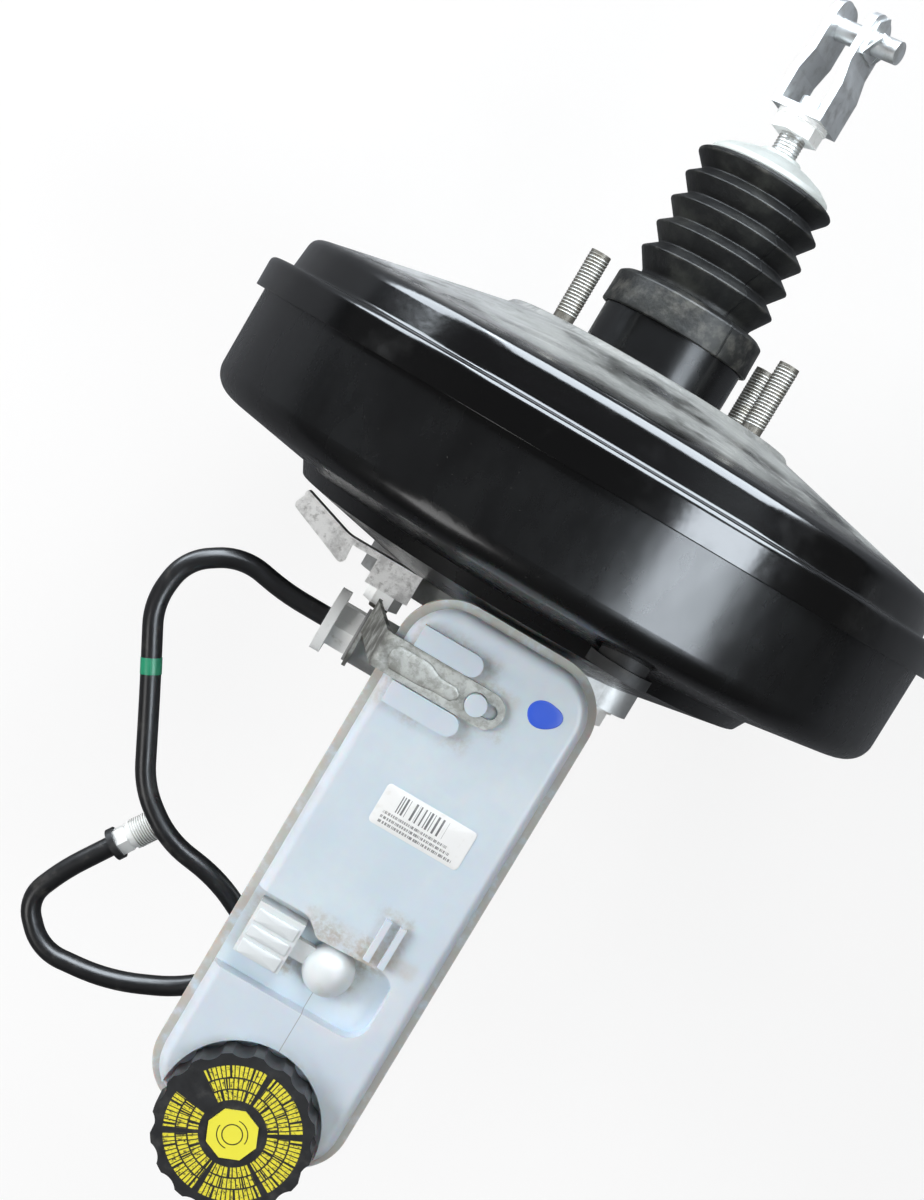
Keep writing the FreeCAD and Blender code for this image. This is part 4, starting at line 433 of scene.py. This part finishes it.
def printed_cap():
    """Cap's black plastic with a yellow octagon and three rings of plain yellow blocks."""
    body = black_plastic()
    body.material.name = "printed_cap"
    away = body.radius(CAP[:2], ("x", "y"))
    turn = body.angle(CAP[:2], ("x", "y"))
    top = body.step(body.axis("z"), CAP[2] - 0.3 * MM, CAP[2] - 0.1 * MM)
    worn = body.step(body.noise(700, 5, 0.7), 0.66, 0.5)
    yellow = (0.80, 0.72, 0.045)
    groups = body.math("FRACT", body.math("ADD", body.math("MULTIPLY", turn, 6.0), 0.55))
    sector = body.both(body.band(groups, 0.05, 0.95, 0.004),
                       body.math("SUBTRACT", 1.0, body.band(turn, 0.41, 0.48, 0.001)))
    # Each ring's inner and outer radius in mm, its count of blocks and its shift in blocks
    for inner, outer, count, shift in ((11.9, 15.3, 54, 0.1), (15.9, 19.3, 72, 0.35),
                                       (19.9, 23.9, 90, 0.6)):
        share = body.math("ADD", body.math("MULTIPLY", turn, float(count)), shift)
        share = body.math("FRACT", share)
        waist = body.band(body.math("FRACT", body.math("MULTIPLY", turn, count / 5)),
                          0.08, 1.2, 0.004)
        ring_band = body.band(away, inner * MM, outer * MM, 0.00012)
        body.tint(body.both(top, sector, waist, worn, ring_band,
                            body.band(share, 0.14, 0.88, 0.04)), yellow)
    raised = body.step(body.axis("z"), CAP[2] + 0.2 * MM, CAP[2] + 0.5 * MM)
    body.tint(raised, (0.86, 0.80, 0.06))
    dark = (0.05, 0.045, 0.01)
    body.tint(body.both(raised, body.band(away, 3.3 * MM, 3.75 * MM)), dark)
    halves = body.math("FRACT", body.math("ADD", body.math("MULTIPLY", turn, 2.0), 0.1))
    arcs = body.band(halves, 0.05, 0.62, 0.01)
    body.tint(body.both(raised, arcs, body.band(away, 5.1 * MM, 5.5 * MM)), dark)
    return body


def label_paper():
    """White label with plain upright bars over three rows of short dashes."""
    body = Finish("label_paper", (0.82, 0.83, 0.83), 0.5)
    x = body.axis("x")
    y = body.axis("y")
    black = (0.03, 0.03, 0.035)
    bars = body.step(body.noise(1150, 1, 0.3, (1, 0, 0)), 0.5, 0.53)
    body.tint(body.both(bars, body.band(y, LABEL[0][1] + 7 * MM, LABEL[1][1] - 1.6 * MM),
                        body.band(x, LABEL[0][0] + 6 * MM, LABEL[1][0] - 9.5 * MM)), black, 0.9)
    for row in range(3):
        low = LABEL[0][1] + (1.4 + 1.75 * row) * MM
        dashes = body.step(body.noise(1900 + 310 * row, 1, 0.3, (1, 0, 0)), 0.46, 0.5)
        across = body.band(x, LABEL[0][0] + 3 * MM, LABEL[1][0] - (3 + 2 * row) * MM)
        body.tint(body.both(dashes, body.band(y, low, low + 1.0 * MM), across), black, 0.75)
    body.tint(body.step(body.noise(300, 5), 0.55, 0.7), (0.6, 0.58, 0.52), 0.25)
    return body


def plain(name, colour, rough):
    """Paint of one colour with a little wear."""
    body = Finish(name, colour, rough)
    body.roughen(body.noise(300, 4), rough * 0.8, rough * 1.3)
    return body


def brown_plastic():
    """Phenolic moulding inside the booster."""
    body = Finish("phenolic", (0.16, 0.10, 0.06), 0.45)
    body.tint(body.noise(300, 5), (0.24, 0.16, 0.10), 0.6)
    body.roughen(body.noise(150, 3), 0.35, 0.6)
    return body


def pale_plastic():
    """Pale greenish disc at the boot's end."""
    body = Finish("pale_plastic", (0.70, 0.76, 0.74), 0.5)
    body.tint(body.step(body.noise(140, 6), 0.5, 0.75), (0.50, 0.53, 0.49), 0.4)
    body.roughen(body.noise(180, 3), 0.4, 0.65)
    return body


def rubber():
    """Black moulded rubber."""
    body = Finish("black_rubber", (0.022, 0.022, 0.022), 0.6)
    body.tint(body.step(body.noise(180, 5), 0.5, 0.75), (0.08, 0.078, 0.07), 0.5)
    body.roughen(body.noise(200, 3), 0.5, 0.75)
    body.emboss(body.noise(1500, 3), 0.00004)
    return body


def boot_rubber():
    """Dusty rubber of the bellows, paler on the ring, paler on the folds' tips with dust and a
    painted highlight, with one mould seam.
    """
    body = Finish("dusty_rubber", (0.006, 0.006, 0.006), 0.4, Specular_IOR_Level=0.25)
    away = body.radius((0, 0))
    body.tint(body.step(body.noise(48, 7, 0.7), 0.46, 0.78), (0.06, 0.063, 0.055), 0.5)
    ring_dust = body.both(body.step(away, 29.4 * MM, 30.2 * MM),
                          body.step(body.noise(60, 6), 0.35, 0.65))
    body.tint(ring_dust, (0.04, 0.042, 0.037), 0.5)
    # Folds' tips: dust, and a painted highlight
    tip_dust_and_highlight = body.both(body.step(away, 27.9 * MM, 28.8 * MM),
                         body.step(body.noise(150, 6), 0.45, 0.7))
    body.tint(tip_dust_and_highlight, (0.22, 0.215, 0.19), 0.35)
    off = body.math("ABSOLUTE", body.math("SUBTRACT", body.angle((0, 0)), 0.17))
    seam = body.band(off, 0.0, 0.0022, 0.0008)
    body.tint(seam, (0.003, 0.003, 0.003), 0.8)
    body.roughen(body.noise(90, 5), 0.26, 0.6)
    body.emboss(seam, 0.0003)
    body.emboss(body.noise(500, 5), 0.00015)
    return body


def pipe_sleeve():
    """Black plastic sleeve on the brake pipe."""
    body = Finish("pipe_sleeve", (0.010, 0.010, 0.011), 0.28)
    body.tint(body.step(body.noise(110, 6), 0.55, 0.75), (0.10, 0.095, 0.085), 0.4)
    body.roughen(body.noise(140, 4), 0.2, 0.45)
    return body


def felt():
    """Felt air filter."""
    body = Finish("felt", (0.36, 0.33, 0.29), 0.95)
    body.tint(body.noise(900, 6), (0.22, 0.20, 0.18), 0.6)
    body.emboss(body.noise(1600, 6), 0.0003)
    return body


def foam():
    """Closed foam of the float."""
    body = Finish("closed_foam", (0.12, 0.12, 0.12), 0.85)
    body.tint(body.noise(1200, 4), (0.2, 0.2, 0.2), 0.5)
    body.emboss(body.noise(2200, 4), 0.0002)
    return body


BOOT = boot_rubber()
RUBBER = rubber()
STEEL = spring_steel()
SHEET = galvanised()
DUSTY = dusty_black()
THREADS = rusty_thread()
PALE = pale_plastic()
RIBS = Finish("rib_plastic", (0.68, 0.72, 0.74), 0.45)
gloss_black().wear("front_shell", "neck_sleeve")
DUSTY.wear("rear_shell")
zinc().wear("input_rod", "clevis", "clevis_pin", "diaphragm_plate", "output_rod",
            "poppet_retainer", "stop_key", "cylinder_circlip", "valve_plunger", "spring_clip")
# The union and the nuts wear the zinc's paler copy, which is painted light
painted_lit_zinc().wear("pipe_union", "lock_nut", "cylinder_nuts", "pipe_end_nut")
THREADS.wear("bulkhead_studs", "cylinder_studs")
SHEET.wear("reservoir_strap")
powdery_zinc().wear("harness_bracket")
cast_metal().wear("cylinder_body", "primary_piston", "secondary_piston")
STEEL.wear("poppet_spring")
milky().wear("reservoir_upper", "reservoir_lower")
white_plastic().wear("level_sensor")
black_plastic().wear("nut_collar")
printed_cap().wear("filler_cap")
brown_plastic().wear("valve_body")
PALE.wear("boot_end_disc")
RUBBER.wear("front_seal", "neck_seal", "vacuum_grommet", "reservoir_grommets", "cap_seal",
            "poppet_valve", "reaction_disc", "primary_cups", "secondary_cups")
pipe_sleeve().wear("brake_pipe")
felt().wear("air_filter")
foam().wear("level_float")


# Surfaces from grids of points

def add(name, rows, body, finish, loop=False):
    """Closed surface from a grid of points (rows, around, xyz).

    Loop joins the last row to the first; else triangles to the mean of the first and of the last
    row close the ends.
    """
    rows = np.asarray(rows, dtype=float)
    count, around = rows.shape[:2]
    points = rows.reshape(-1, 3)
    here, right = np.meshgrid(np.arange(count if loop else count - 1), np.arange(around),
                              indexing="ij")
    after, beside = (here + 1) % count, (right + 1) % around
    quads = np.stack([here * around + right, here * around + beside, after * around + beside,
                      after * around + right], axis=-1).reshape(-1, 4).tolist()
    if not loop:
        points = np.vstack([points, rows[0].mean(axis=0), rows[-1].mean(axis=0)])
        pole, last = count * around, (count - 1) * around
        spin = np.arange(around)
        beside = (spin + 1) % around
        quads += np.stack([beside, spin, np.full(around, pole)], axis=-1).tolist()
        quads += np.stack([last + spin, last + beside, np.full(around, pole + 1)],
                          axis=-1).tolist()
    mesh = bpy.data.meshes.new(name)
    mesh.from_pydata(points.tolist(), [], quads)
    mesh.polygons.foreach_set("use_smooth", np.ones(len(mesh.polygons), dtype=bool))
    piece = bpy.data.objects.new(name, mesh)
    scene.collection.objects.link(piece)
    finish.wear(piece)
    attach(piece, body)
    return piece


def basis(along):
    """Two unit vectors across a direction, and the direction itself."""
    along = np.array(along, dtype=float) / np.linalg.norm(along)
    side = np.cross((0.0, 0.0, 1.0) if abs(along[2]) < 0.9 else (1.0, 0.0, 0.0), along)
    side /= np.linalg.norm(side)
    return side, np.cross(along, side), along


def corner_curve(before, corner, after, cut, steps):
    """Quadratic curve round a corner from cut before it to cut after it, and both directions."""
    share = np.linspace(0, 1, steps)[:, None]
    into = (before - corner) / np.linalg.norm(before - corner)
    out = (after - corner) / np.linalg.norm(after - corner)
    curve = ((1 - share) ** 2 * (corner + into * cut) + 2 * share * (1 - share) * corner
             + share ** 2 * (corner + out * cut))
    return curve, into, out


def bent(corners, cut):
    """Closed polyline of corners, each replaced by a quadratic curve that starts cut before it."""
    closed = np.array(corners + corners[:2], dtype=float)
    return np.vstack([corner_curve(*three, cut, 6)[0]
                      for three in zip(closed, closed[1:], closed[2:])])


def rounded(corners, steps=7, support=0.25):
    """Closed (radius, height, cut) profile, each corner a curve with a point just before it."""
    spots = np.array([corner[:2] for corner in corners], dtype=float)
    cuts = (corner[2] for corner in corners)
    line = []
    for before, corner, after, cut in zip(np.roll(spots, 1, 0), spots, np.roll(spots, -1, 0), cuts):
        curve, into, out = corner_curve(before, corner, after, cut, steps)
        line += [[corner + into * (cut + support)], curve, [corner + out * (cut + support)]]
    return np.vstack(line)


def turned(profile, start, along, around, swell=0.0):
    """Grid of a closed (radius, height) profile, in mm, turned about a line from start.

    The radius is the profile's times one plus a swell, which is a share of two slow sines of the
    angle and the height.
    """
    side, other, along = basis(along)
    profile = np.asarray(profile, dtype=float)
    spin = np.linspace(0, 2 * math.pi, around, endpoint=False)
    radius, height = profile[:, :1] * MM, profile[:, 1:] * MM
    radius = radius * (1 + swell * (np.sin(2 * spin + 1.3 + height * 40)
                                    + 0.7 * np.sin(5 * spin + height * 90)))
    height = height + 0 * spin
    round_about = np.cos(spin)[:, None] * side + np.sin(spin)[:, None] * other
    return np.array(start) + radius[..., None] * round_about + height[..., None] * along


def thread(name, start, along, length, radius, pitch, body):
    """Screw thread, sizes in mm: a bar whose radius is a triangle wave.

    The wave runs with the height over the pitch less the angle's share of a turn, and fades
    within one pitch of either end.
    """
    below, ridge = 0.16, 0.42
    side, other, along = basis(along)
    spin = np.linspace(0, 2 * math.pi, 40, endpoint=False)
    height = np.linspace(0, length, int(length / pitch * 8) + 1)[:, None]
    wave = np.abs(2 * np.mod(height / pitch - spin / (2 * math.pi), 1) - 1)
    ends = np.clip(np.minimum(height, length - height) / pitch, 0, 1)
    radius = (radius - below + ridge * wave * ends) * MM
    height = height * MM + 0 * spin
    round_about = np.cos(spin)[:, None] * side + np.sin(spin)[:, None] * other
    grid = np.array(start) * MM + radius[..., None] * round_about + height[..., None] * along
    return add(name, grid, body, THREADS)


def plate(name, outline, levels, body, finish):
    """Flat piece: an outline round its own middle, drawn in by a share at each (share, z) level."""
    outline = np.asarray(outline, dtype=float)
    middle = outline.mean(axis=0)
    rows = [np.column_stack([middle + (outline - middle) * share, np.full(len(outline), z)])
            for share, z in levels]
    return add(name, rows, body, finish)


def rounded_box(low, high, corner, steps=6):
    """Outline of a rectangle with round corners, counter-clockwise."""
    spots = []
    for index, (x, y) in enumerate(((high[0], high[1]), (low[0], high[1]), (low[0], low[1]),
                                    (high[0], low[1]))):
        spin = np.linspace(index * math.pi / 2, (index + 1) * math.pi / 2, steps)
        middle = (x - math.copysign(corner, x - (low[0] + high[0]) / 2),
                  y - math.copysign(corner, y - (low[1] + high[1]) / 2))
        spots.append(np.column_stack([middle[0] + corner * np.cos(spin),
                                      middle[1] + corner * np.sin(spin)]))
    return np.vstack(spots)


def blot(middle, size):
    """Outline of a brushed dot: an ellipse times one plus two small sines of the angle."""
    spin = np.linspace(0, 2 * math.pi, 64, endpoint=False)
    blob = 1 + 0.07 * np.sin(2 * spin + 2.2) + 0.05 * np.sin(3 * spin + 0.4)
    return np.column_stack([middle[0] + size[0] * blob * np.cos(spin - 0.2),
                            middle[1] + size[1] * blob * np.sin(spin)])


def strap_ridge():
    """Low arch carried along the strap from left to right.

    Its middle moves forwards and its half width shrinks by a smooth step of the path's share,
    and the width closes at both ends with the square root of the share that is left.
    """
    left, length = -33, 27
    wide, narrower, forwards = 4.4, 1.7, 0.9
    share = np.linspace(0, 1, 60)[:, None]
    arch = np.array([(-1, -0.3), (-1, 0.1), (-0.86, 0.42), (-0.5, 0.55), (0, 0.58), (0.5, 0.55),
                     (0.86, 0.42), (1, 0.1), (1, -0.3)])
    flow = np.clip((share - 0.45) / 0.3, 0, 1)
    flow = flow * flow * (3 - 2 * flow)
    ends = np.clip(np.minimum(share, 1 - share) * 14, 0.2, 1) ** 0.5
    width = (wide - narrower * flow) * ends * MM
    return np.stack([(left + length * share) * MM + 0 * arch[:, 0],
                     STRAP_Y - forwards * MM * flow + width * arch[:, 0],
                     STRAP_TOP + arch[:, 1] * MM + 0 * share], axis=-1)


# Rear cover, turned from the frame's own sizes so that its paint reflects smoothly
RIM, WALL, LIP, BEAD, TOP, BORE = 146.0, 1.5, 142.7, 137.5, 136.0, 29.5
PAD_FOOT, PAD_TOP, SLOPE = 62.0, 60.0, 0.75
OPEN_END, STEP, SHOULDER, CONE_END, FACE = -45.0, -33.0, -19.8, -2.6, -0.4
COVER = (
    (LIP, OPEN_END, 0.1), (RIM, OPEN_END, 0.35), (RIM, STEP, 2.4), (BEAD, STEP, 1.35),
    (TOP, SHOULDER, 3.5), (PAD_FOOT, CONE_END, 0.8), (PAD_TOP, FACE, 0.8), (BORE, FACE, 0.1),
    (BORE, FACE - WALL, 0.1), (PAD_TOP - SLOPE, FACE - WALL, 0.3),
    (PAD_FOOT - SLOPE, CONE_END - WALL, 0.3), (TOP - WALL, SHOULDER - WALL, 2.5),
    (BEAD - WALL, STEP - WALL, 2.7), (RIM - WALL, STEP - WALL, 0.9),
    (RIM - WALL, OPEN_END + WALL, 0.1), (LIP, OPEN_END + WALL, 0.1),
)
ORIGIN, BACK = (0, 0, 0), (0, 1, 0)
COVER_STEPS, BOOT_STEPS = 360, 128
cover = add("rear_cover", turned(rounded(COVER), ORIGIN, BACK, COVER_STEPS), "housing",
            DUSTY, True)
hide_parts("rear_shell")

# Bellows: a ring on the neck and five folds
RING = [(29.4, 17.5), (31.4, 17.5), (31.2, 21.0), (31.0, 30.0), (28.5, 31.6), (24.6, 32.2),
        (23.0, 31.4), (24.0, 28.0), (29.4, 26.0)]
RING_CUT, FOLD_CUT, DOME_CUT = 0.7, 0.8, 0.5
RING_SWELL, FOLD_SWELL = 0.0012, 0.0035
ring = add("boot_ring", turned(bent(RING, RING_CUT), ORIGIN, BACK, BOOT_STEPS, RING_SWELL),
           "housing", BOOT, True)
FOLD_START, FOLD_PITCH, FOLDS, FOLD_ROOT, FOLD_TIP, SKIN = 35.5, 10.6, 5, 23.5, 28.7, 1.9
outer = [(23.4, 31.2), (FOLD_ROOT, 34.2)]
for fold in range(FOLDS):
    outer += [(FOLD_TIP, FOLD_START + FOLD_PITCH * (fold + 0.62)),
              (FOLD_ROOT, FOLD_START + FOLD_PITCH * (fold + 1))]
outer[-2:] = [(FOLD_TIP, 83.6), (28.3, 84.8), (25.8, 86.0)]
inner = [(radius - SKIN, height) for radius, height in reversed(outer[:-2])]
bellows = bent(outer + [(25.2, 84.8)] + inner, FOLD_CUT)
folds = add("boot_folds", turned(bellows, ORIGIN, BACK, BOOT_STEPS, FOLD_SWELL), "housing",
            BOOT, True)
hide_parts("dust_boot")
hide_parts("dust_boot")
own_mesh(folds)
DOME = [(24.6, 85.6), (25.2, 86.4), (24.6, 88.4), (20.5, 91.2), (14.5, 93.6), (9.0, 94.9),
        (8.2, 96.6), (6.6, 97.0), (6.0, 96.4), (6.0, 89.5), (23.0, 85.6)]
disc = add("end_dome", turned(bent(DOME, DOME_CUT), ORIGIN, BACK, BOOT_STEPS), "input_rod",
           PALE, True)
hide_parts("boot_end_disc")

# Threads, in mm: each size's radius and pitch, and where each thread starts and how long it is
M8, M10, M12 = (4.0, 1.25), (5.0, 1.25), (5.85, 1.0)
STUD_FOOT, STUD_LENGTH = 1.5, 26
FLANGE_FOOT, FLANGE_LENGTH = -129.2, 4.2
ROD_FOOT, ROD_LENGTH = 96, 9.0
NUT_FOOT, NUT_LENGTH = 9.4, 9.6
for number, (x, z) in enumerate(((1, 1), (-1, 1), (-1, -1), (1, -1)), 1):
    thread(f"stud_thread_{number}", (x * STUD_X, STUD_FOOT, z * STUD_Z), BACK, STUD_LENGTH, *M8,
           "housing")
for side, sign in (("right", 1), ("left", -1)):
    thread(f"cylinder_stud_thread_{side}", (sign * FLANGE_STUD_X, FLANGE_FOOT, 0), BACK,
           FLANGE_LENGTH, *M8, "housing")
thread("rod_thread", (0, ROD_FOOT, 0), BACK, ROD_LENGTH, *M10, "input_rod")
PIPE_LAST, PIPE_END = np.array((-99.5, -282.5, -4.0)), np.array((-87.6, -263.8, -4.0))
end_way = (PIPE_END - PIPE_LAST) / np.linalg.norm(PIPE_END - PIPE_LAST)
thread("end_nut_thread", PIPE_END + end_way * NUT_FOOT, end_way, NUT_LENGTH, *M12, "housing")

# Label and paint mark, which stand a little over the deck and start a little under it
UNDER, LABEL_CORNER = DECK - 0.1 * MM, 1.6 * MM
plate("label", rounded_box(*LABEL, LABEL_CORNER),
      ((1, UNDER), (1, DECK + 0.12 * MM), (0.99, DECK + 0.16 * MM)),
      "housing", label_paper())
MARK_AT, MARK_SIZE = (22.4 * MM, -120.6 * MM), (5.9 * MM, 5.1 * MM)
plate("paint_mark", blot(MARK_AT, MARK_SIZE),
      ((1, UNDER), (1, DECK + 0.03 * MM), (0.93, DECK + 0.12 * MM), (0.6, DECK + 0.2 * MM)),
      "housing", plain("blue_paint", (0.035, 0.115, 0.72), 0.35))

# Ribs on the sensor's plug and on the strap
RIB_SPAN, RIB_IN, RIB_OUT, RIB_CORNER = 19.5, 1.0 * MM, 16.5 * MM, 0.6 * MM
RIB_LEVELS = ((1, 96.3 * MM), (1, 96.9 * MM), (0.94, 97.1 * MM))
for number, (start, end) in enumerate(((0.06, 0.33), (0.40, 0.62), (0.69, 0.94)), 1):
    low = (plug_low[0] + RIB_IN, plug_low[1] + RIB_SPAN * MM * start)
    high = (plug_low[0] + RIB_OUT, plug_low[1] + RIB_SPAN * MM * end)
    plate(f"plug_rib_{number}", rounded_box(low, high, RIB_CORNER), RIB_LEVELS, "housing",
          RIBS)
add("strap_rib", strap_ridge(), "housing", SHEET)

# Washer under the union and the painted band round the pipe
UNION_FACE, UNION_WAY = (-46.1 * MM, -140.5 * MM, 10 * MM), (-1, 0, 0)
WASHER = [(6, 0), (11.2, 0), (11.2, 1.2), (6, 1.2)]
add("union_washer", turned(bent(WASHER, 0.25), UNION_FACE, UNION_WAY, 64), "housing",
    plain("grey_washer", (0.30, 0.30, 0.30), 0.5), True)
BAND_AT, BAND_WAY = (-108.2, -190.3, 14.0), (15, -29, 0)
BAND = [(3.9, -3.2), (4.18, -3.2), (4.18, 3.2), (3.9, 3.2)]
add("pipe_band", turned(bent(BAND, 0.08), np.array(BAND_AT) * MM, BAND_WAY, 48), "housing",
    plain("green_paint", (0.015, 0.25, 0.13), 0.35), True)


# Springs and the diaphragm, as copies of the frame's nodes

def soft_copy(node, finish):
    """A copy of a frame node in a finish, with the node hidden."""
    piece = bpy.data.objects.new(node + "_soft", nodes[node].data.copy())
    scene.collection.objects.link(piece)
    finish.wear(piece)
    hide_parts(node)
    return piece


# Each spring's joint, its shortening in mm, its body, and how many of its lengths the fixed end
# lies before its front end
SPRINGS = (
    ("return_spring", "brake_stroke", 34.0, "housing", 0),
    ("primary_spring", "primary_stroke", 17.0, "housing", 1),
    ("secondary_spring", "secondary_stroke", 17.0, "housing", 0),
    ("rod_spring", "valve_stroke", 1.5, "power_piston", 0),
)
for node, joint, travel, body, ahead in SPRINGS:
    low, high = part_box(node)
    spring = soft_copy(node, STEEL)
    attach(spring, body)
    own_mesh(spring)
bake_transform(soft_copy("diaphragm", RUBBER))


# Floor: the camera sees it nearly white, reflections see it dark

REACH, CAMERA_SHARE, WORLD = 6.0, 0.8, 0.09
floor_z = cad_box[0][2] - 1 * MM
floor_mesh = bpy.data.meshes.new("floor")
floor_mesh.from_pydata([(-REACH, -REACH, floor_z), (REACH, -REACH, floor_z),
                        (REACH, REACH, floor_z), (-REACH, REACH, floor_z)], [], [(0, 1, 2, 3)])
floor = bpy.data.objects.new("floor", floor_mesh)
scene.collection.objects.link(floor)

pale = Finish("pale_floor", (0.86, 0.86, 0.86), 0.9)
paths = pale.node("ShaderNodeLightPath")
pale.tint(paths.outputs["Is Glossy Ray"], (0.10, 0.10, 0.105), 1.0)
glow = pale.node("ShaderNodeEmission")
glow.inputs["Color"].default_value = (1, 1, 1, 1)
glow.inputs["Strength"].default_value = 1.0
blend = pale.node("ShaderNodeMixShader")
pale.link(pale.math("MULTIPLY", paths.outputs["Is Camera Ray"], CAMERA_SHARE), blend.inputs[0])
pale.link(pale.shader.outputs[0], blend.inputs[1])
pale.link(glow.outputs[0], blend.inputs[2])
pale.link(blend.outputs[0], pale.tree.nodes["Material Output"].inputs["Surface"])
floor.data.materials.append(pale.material)


# Light and camera

world = bpy.data.worlds.new("studio")
world.use_nodes = True
world.node_tree.nodes["Background"].inputs["Color"].default_value = (1, 1, 1, 1)
world.node_tree.nodes["Background"].inputs["Strength"].default_value = WORLD
scene.world = world
scene.view_settings.view_transform = "Standard"

WHITE, COOL = (1, 1, 1), (0.84, 0.92, 1.0)


def area_light(name, spot, target, width, height, power, diffuse=True, gloss=True):
    """Soft lamp at spot, aimed at target; it may light dull surfaces or show in gloss alone."""
    lamp = bpy.data.lights.new(name, "AREA")
    lamp.shape = "RECTANGLE"
    lamp.size = width
    lamp.size_y = height
    lamp.energy = power
    lamp.color = WHITE if diffuse else COOL
    made = bpy.data.objects.new(name, lamp)
    made.location = spot
    made.rotation_euler = (Vector(target) - Vector(spot)).to_track_quat("-Z", "Y").to_euler()
    made.visible_diffuse = diffuse
    made.visible_glossy = gloss
    scene.collection.objects.link(made)


area_light("window", (0.86, -0.10, 1.25), (0, -0.08, 0.1), 0.5, 0.6, 6.5, gloss=False)
area_light("window_gloss", (0.84, -0.10, 1.22), (0, -0.08, 0.1), 0.45, 0.6, 13.5, diffuse=False)
area_light("sky", (-0.1, 1.25, 1.2), (0, -0.02, 0), 0.9, 0.9, 12, gloss=False)
area_light("front", (-0.8, -1.0, 1.1), (0, -0.15, 0), 0.6, 0.6, 5)
area_light("left", (-1.3, -0.2, 0.85), (0, -0.05, 0), 0.7, 0.7, 18, gloss=False)
area_light("sky_gloss", (0.1, 1.35, 1.0), (0, 0, 0), 3.2, 1.7, 290, diffuse=False)
area_light("left_gloss", (-1.45, 0.95, 0.3), (0, 0, 0), 1.3, 0.8, 45, diffuse=False)

LENS, SENSOR = 55.59, 36
CAMERA_PLACE = (-0.04056, -0.04633, 0.71349)
CAMERA_RIGHT = (0.8611, 0.5082, -0.0183)
CAMERA_UP = (-0.5076, 0.8567, -0.0915)
CAMERA_BACK = (-0.0308, 0.0881, 0.9956)
camera = bpy.data.objects.new("camera", bpy.data.cameras.new("camera"))
camera.data.lens = LENS
camera.data.sensor_width = SENSOR
camera.rotation_mode = "QUATERNION"
turn = Matrix((CAMERA_RIGHT, CAMERA_UP, CAMERA_BACK)).transposed()
camera.rotation_quaternion = turn.to_quaternion()
camera.location = CAMERA_PLACE
camera.data.clip_start = 0.01
camera.data.clip_end = 50
scene.collection.objects.link(camera)
scene.camera = camera
